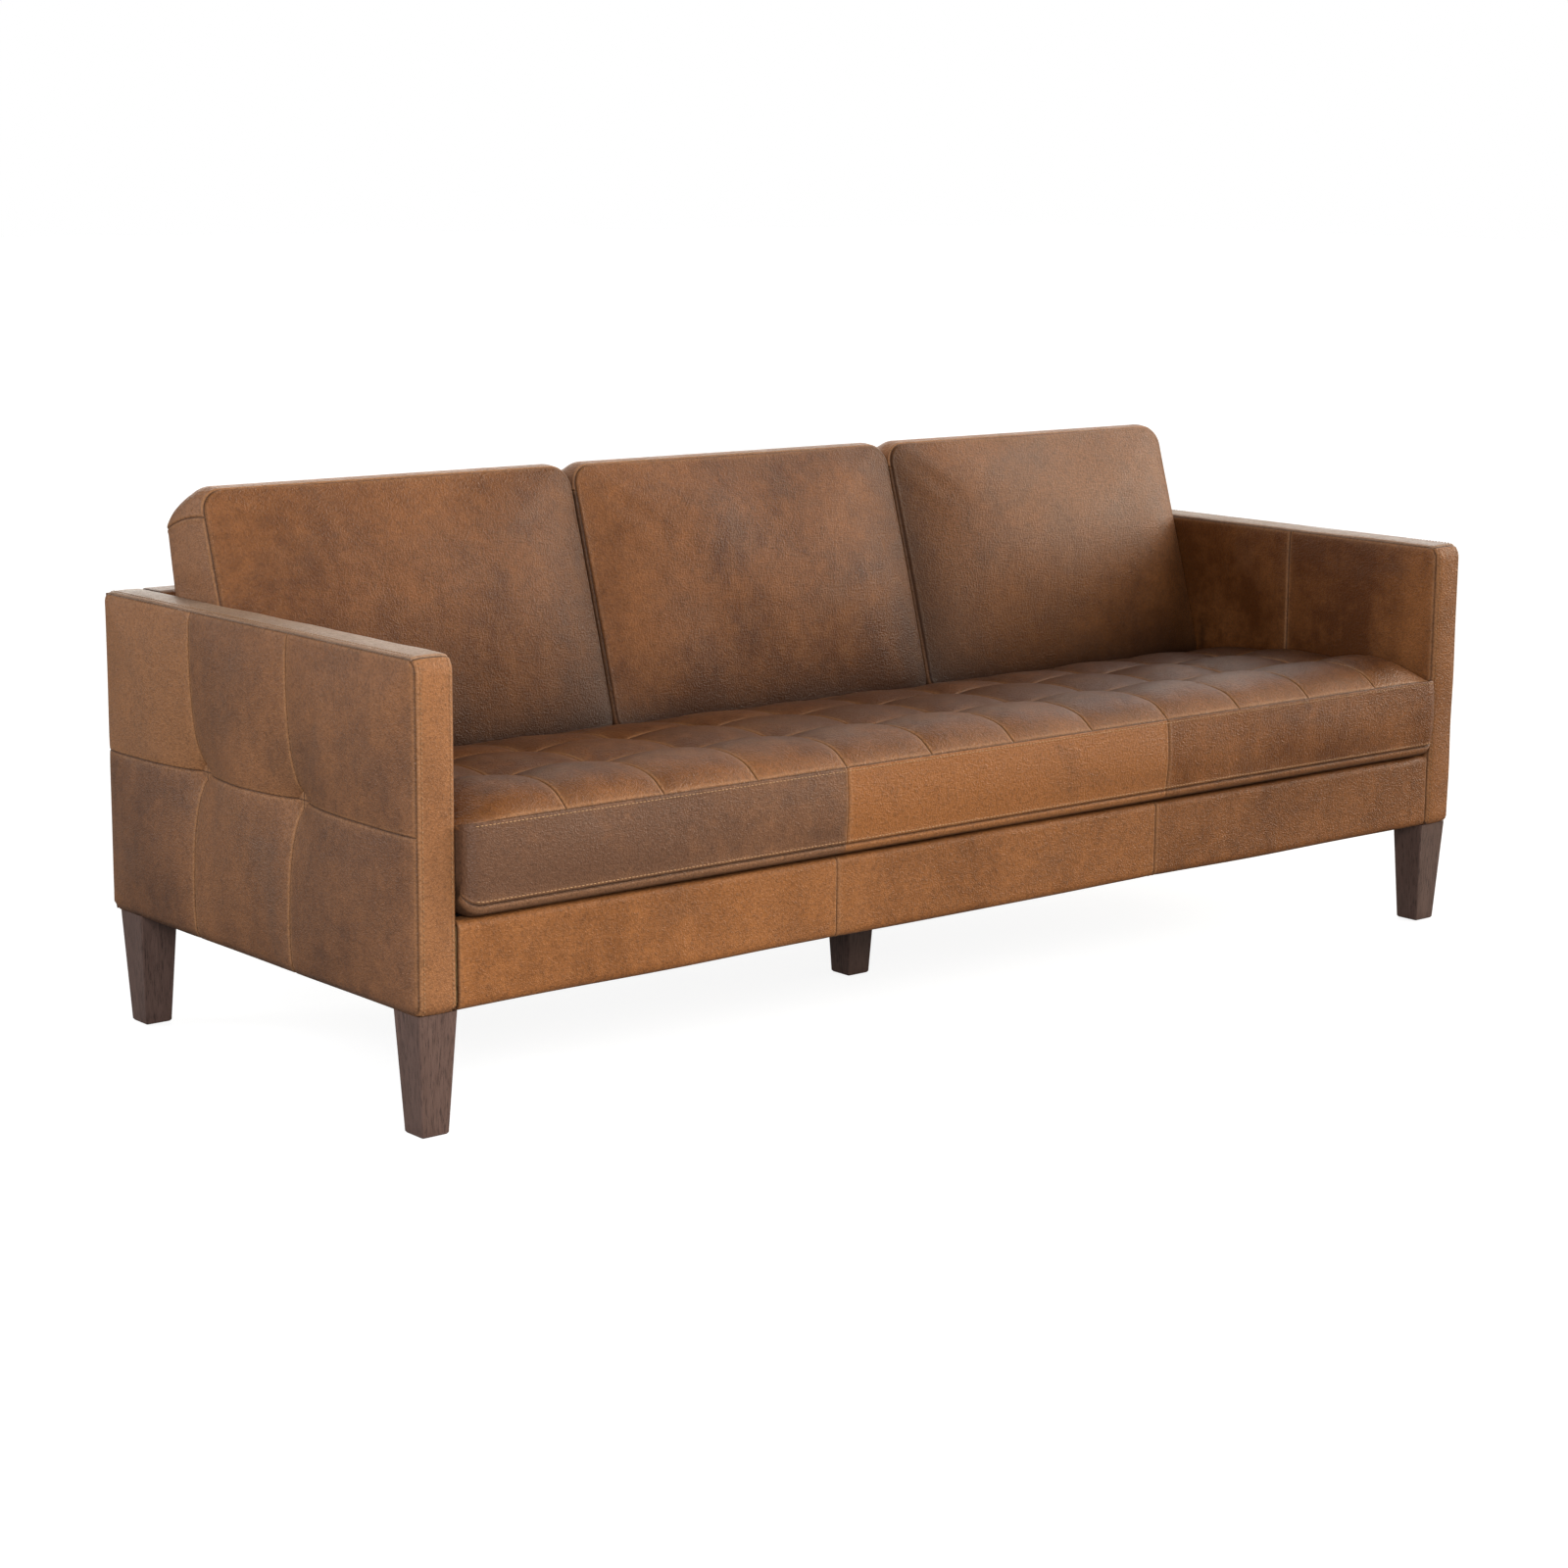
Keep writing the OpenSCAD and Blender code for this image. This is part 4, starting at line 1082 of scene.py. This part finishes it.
def cushion_rings():
    """Stations q: 0..1 out over the front to its seam, 1..2 across the gusset, 2..3 in over the back."""
    rings = ticks(0, 1, (0,), coarse=0.045, fine=0.004, reach=0.012)
    rings = rings[rings < INNER_RING]
    across = ticks(0, 1, (0, 1), coarse=0.05, fine=0.008, reach=0.03)
    return np.concatenate([1 - rings[::-1], 1 + across[1:], 2 + rings[1:]])


def cushion_plane(centre, u, v, g):
    """A point a share g of the way from the raked front plane to the back plane."""
    z_front = CUSHION.z + v * math.cos(RAKE)
    y_front = Y_CREASE + 0.001 + v * math.sin(RAKE)
    y_back = Y_WALL - 0.010 + 0.016 * share((z_front - Z_ARM) / 0.1)
    return xyz(centre + u, y_front + (y_back - y_front) * g, z_front)


def cushion_crown(u, v, k):
    """Share of the crown at a place on the front: full and soft in the middle, rolled under at the foot."""
    rise = share(v / CUSHION_LENGTH)
    up = np.maximum(v, 0)
    broad = (1 - 0.55 * np.abs(u / CUSHION_HALF) ** 4) * (0.60 + 0.40 * hump(rise ** 0.8))
    broad = broad * (1 - 0.35 * near(up, 0.020) - 0.65 * near(up, 0.100))
    return broad * np.maximum(1 - k ** 16, 0) ** 0.45


def cushion_form(centre, q, loops, size):
    """The cushion before its seams, over rings q and the stations of its outlines."""
    k, g = share(np.minimum(q, 3 - q)), share(q - 1)
    u0, v0, nu, nv = (a + (b - a) * g ** 1.8 for a, b in zip(*loops))
    run = g * CUSHION_DEPTH
    up = share(nv)
    back_r = 0.030 - 0.012 * share(-nv)
    inset = rounded_in(run - (CUSHION_DEPTH - back_r), back_r) + 0.036 * up * g ** 2
    free = share(nu * np.sign(centre)) * share((v0 - GUSSET_FREE_V) / 0.03)
    puff = 0.0035 * up * hump(share(g * 2.2)) + 0.0045 * free * hump(share(g * 1.1))
    puff = puff + CUSHION_SEAM_IN * (1 - near(run, 0.012))
    u = (u0 + nu * (puff - inset)) * k
    v = CUSHION_MIDDLE + (v0 + nv * (puff - inset) - CUSHION_MIDDLE) * k
    points = cushion_plane(centre, u, v, g)
    points += np.where(q < 1, size * cushion_crown(u, v, k), 0)[..., None] * FACING
    rear = np.where(q > 2, 0.008 * (1 - k ** 11) * share((points[..., 2] - Z_ARM - 0.01) / 0.05), 0)
    points[..., 1] += rear
    return points, k, run, v


def swelled_front(centre, size):
    """How cloth simulation moves a cushion's front: an even sheet, sewn down at its border."""
    us, vs = np.linspace(-CUSHION_HALF, CUSHION_HALF, 62), np.linspace(0, CUSHION_LENGTH, 41)
    u, v = lattice(us, vs)
    k = np.minimum((np.abs(u / CUSHION_HALF) ** 12 + np.abs(v / CUSHION_MIDDLE - 1) ** 12) ** (1 / 12), 1)
    sheet = cushion_plane(centre, u, v, 0.0) + (size * cushion_crown(u, v, k))[..., None] * FACING
    return swell_sheet(sheet, -FACING, (k > INNER_RING).astype(float), CUSHION_SWELL), us, vs


def loop_normals(points):
    """Outward unit normals of a grid that closes on itself along its columns."""
    n = unit(np.cross(np.gradient(points, axis=0), np.roll(points, -1, 1) - np.roll(points, 1, 1)))
    away = points - points.reshape(-1, 3).mean(0)
    return n if (n * away).sum(-1).mean() > 0 else -n


def cushion_paint(centre, tone, q, k, v, loop, front_marks, back_marks, turn_marks):
    """Tone, wear, darkness and painted sheen over a cushion, with painted shade where its neighbours and the
    seat shade it.
    """
    front, gusset = q < 1, (q > 1) & (q < 2)
    left, right = centre < -0.1, centre > 0.1
    top_strip = gusset & (loop[1] > GUSSET_SEAM_V)
    free_end = left & (loop[2] < 0.5)
    lip = np.where(loop[2] > 0.5, 0.1, np.where(free_end | (loop[3] > 0.5), 1.5, 0.7))
    wear = most(front_marks[1] * np.where(q > 1, lip, 0.7 * np.minimum(lip, 1)), back_marks[1] * 0.6,
                turn_marks[1], 0.12 * top_strip)
    up = np.maximum(v, 0)
    # Painted shade at the front's foot, where it meets the seat, reaching higher on the outer cushions
    shade = 0.25 if left or right else 0.10
    low = np.where(front, 0.6 * np.exp(-up / shade) + 0.4 * near(up, 0.03), 0)
    from_left = np.where(front, CUSHION_HALF + loop[0] * k, 1.0)
    from_right = np.where(front, CUSHION_HALF - loop[0] * k, 1.0)
    # Painted shade where the front turns away: on the right cushion's left side and the other cushions' right
    # sides
    turned = 0.74 * near(from_left, 0.075) if right else 0.44 * near(from_right, 0.060)
    # Painted shade on the side gussets in the gaps between cushions, except at the left cushion's free end
    gap = gusset | (q == 2)
    gap = np.where(gap & (loop[1] < GUSSET_SEAM_V) & (np.abs(loop[2]) > 0.5) & ~free_end, 0.6, 0)
    dark = most(front_marks[2], back_marks[2] * 0.7, turn_marks[2], gap,
                1 - (1 - np.minimum(1.05 * low, 0.95)) * (1 - turned))
    # Painted light: the front of the left and middle cushions is paler along its left edge
    glow = 0.0 if right else 0.22 * near(from_left, 0.10) * share((1 - k) * 30)
    # Painted highlight over the right part of the right cushion's front, above its foot
    side_sheen = 0.20 * share((from_left - 0.10) / 0.25) * share((v - 0.16) / 0.12) if right else 0.0 * v
    tone = np.where(front, tone - 0.60 * low + glow, tone + 0.26) + 0.14 * top_strip
    # Painted sheen: that highlight on the front, and an even sheen over the gusset and back
    return {"tone": tone, "wear": wear, "dark": dark, "veil": np.where(front, side_sheen, 0.23)}


def make_back_cushion(name, centre, tone, seed):
    """A boxed cushion, one closed form: a raked, crowned front, a gusset round it and a rounded back."""
    size = CUSHION_CROWN * CUSHION_START
    loops, to_turn = cushion_loops()
    loop = loops[0]
    q = cushion_rings()[:, None]
    points, k, run, v = cushion_form(centre, q, loops, size)
    shift, us, vs = swelled_front(centre, size)
    points += sample(shift, us, vs, loop[0] * k, v) * np.where(q < 1, share((1 - k) * 60), 0)[..., None]
    inward = (1 - k) * np.hypot(loop[0], loop[1] - CUSHION_MIDDLE)
    front_marks = seam_marks(np.where(q <= 1, inward, np.where(q <= 2, run, 1.0)))
    back_marks = seam_marks(np.where(q >= 2, inward, np.where(q >= 1, CUSHION_DEPTH - run, 1.0)))
    turn_marks = seam_marks(to_turn + np.where((q > 1) & (q < 2), 0, 1.0))
    lift = 0.0011 * ripple(points, seed, 24) * np.where(q < 1, share((1 - k) * 8), 0)
    lift = lift - front_marks[0] - back_marks[0] - turn_marks[0]
    points = points + loop_normals(points) * lift[..., None]
    paint = cushion_paint(centre, tone, q, k, v, loop, front_marks, back_marks, turn_marks)
    cushion = add_piece(f"{name}_cushion", points, turned_over(tube_faces(*points.shape[:2])),
                        (f"{name}_cover", f"{name}_foam"), **paint)


# ---- underside

CLOTH_IN = 0.024
CLOTH_SAG = 0.0012
STAPLE_GAP = 0.045
STAPLE_IN = 0.006
STAPLE_HALF = (0.005, 0.0006)


def make_underside():
    """The black cloth under the body, sagging a little between its stapled edges."""
    x1, y0, y1 = X_OUT - CLOTH_IN, Y_FRONT + CLOTH_IN, Y_BACK - CLOTH_IN
    y, x = lattice(np.linspace(y0, y1, 44), np.linspace(-x1, x1, 110))
    edge = np.minimum.reduce([x + x1, x1 - x, y - y0, y1 - y])
    under = Z_BASE - 0.0006 - CLOTH_SAG * (1 - near(edge, 0.05)) - 0.0004 * ripple(xyz(x, y, 0), 71, 60)
    grids = xyz(x, y, under), xyz(x, y, Z_BASE + 0.0010)
    cloth = slab("underside_cloth", *grids, ("dust_cover",), True, "cloth", tone=0.0)
    along_x = [(x, y, *STAPLE_HALF) for x in np.arange(-x1 + 0.02, x1, STAPLE_GAP)
               for y in (y0 + STAPLE_IN, y1 - STAPLE_IN)]
    along_y = [(x, y, *STAPLE_HALF[::-1]) for y in np.arange(y0 + 0.03, y1, STAPLE_GAP)
               for x in (-x1 + STAPLE_IN, x1 - STAPLE_IN)]
    points, faces = [], []
    for x, y, dx, dy in along_x + along_y:
        faces += tube_faces(2, 4, len(points))
        points += [(x + sx * dx, y + sy * dy, z) for z in (Z_BASE - 0.0016, Z_BASE - 0.0002)
                   for sx, sy in ((-1, -1), (1, -1), (1, 1), (-1, 1))]
    add_piece("underside_staples", points, faces, (), slot="steel")


# ---- legs

LEG_TAPER = 45 / 64
LEG_EASE = 0.0022
LEG_BEVEL = 0.0025
LEG_STEPS = 12


def make_leg(name):
    """A tapered square leg with eased edges and a small bevel round the foot."""
    low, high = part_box(name)
    top = (high.x - low.x) / 2
    foot = top * LEG_TAPER
    t = np.arange(LEG_STEPS + 1) / LEG_STEPS
    z = np.concatenate([[low.z], low.z + LEG_BEVEL + (high.z - low.z - LEG_BEVEL) * t])
    half = np.concatenate([[foot - 0.002], foot + (top - foot) * t]) - LEG_EASE
    corners = np.repeat([(1, 1), (-1, 1), (-1, -1), (1, -1)], 4, 0)
    edges = np.concatenate([arc(0, 0, LEG_EASE, a, a + 90, 4)[:, :2] for a in (0, 90, 180, 270)])
    flat = corners * half[:, None, None] + edges + ((low + high) / 2).xy
    leg = add_piece(f"{name}_shape", xyz(flat[..., 0], flat[..., 1], z[:, None]), tube_faces(*flat.shape[:2]),
                    (name,), "leg_wood")
    leg.data.set_sharp_from_angle(angle=math.radians(40))
    leg.modifiers.new("flat sides", "WEIGHTED_NORMAL").keep_sharp = True


# ---- build

def dress_cad_nodes():
    slots = {s["node"]: s["material_slot"] for s in frame["record"]["subparts"]}
    for name, obj in frame["nodes"].items():
        obj.data.materials.clear()
        obj.data.materials.append(SLOT_MATERIALS.get(slots.get(name, "hide"), LEATHER))


make_camera()
make_stage()
dress_cad_nodes()
for side, name in ((-1, "left_arm"), (1, "right_arm")):
    make_arm(side, name)
rail_cover()
outside_back()
back_wall_top()
make_seat()
make_underside()
for i, (name, tone) in enumerate((("left_back", 0.58), ("centre_back", 0.40), ("right_back", 0.86))):
    make_back_cushion(name, (i - 1) * CUSHION_PITCH, tone, 61 + i)
for name in ("left_front_leg", "right_front_leg", "left_rear_leg", "right_rear_leg", "centre_leg"):
    make_leg(name)
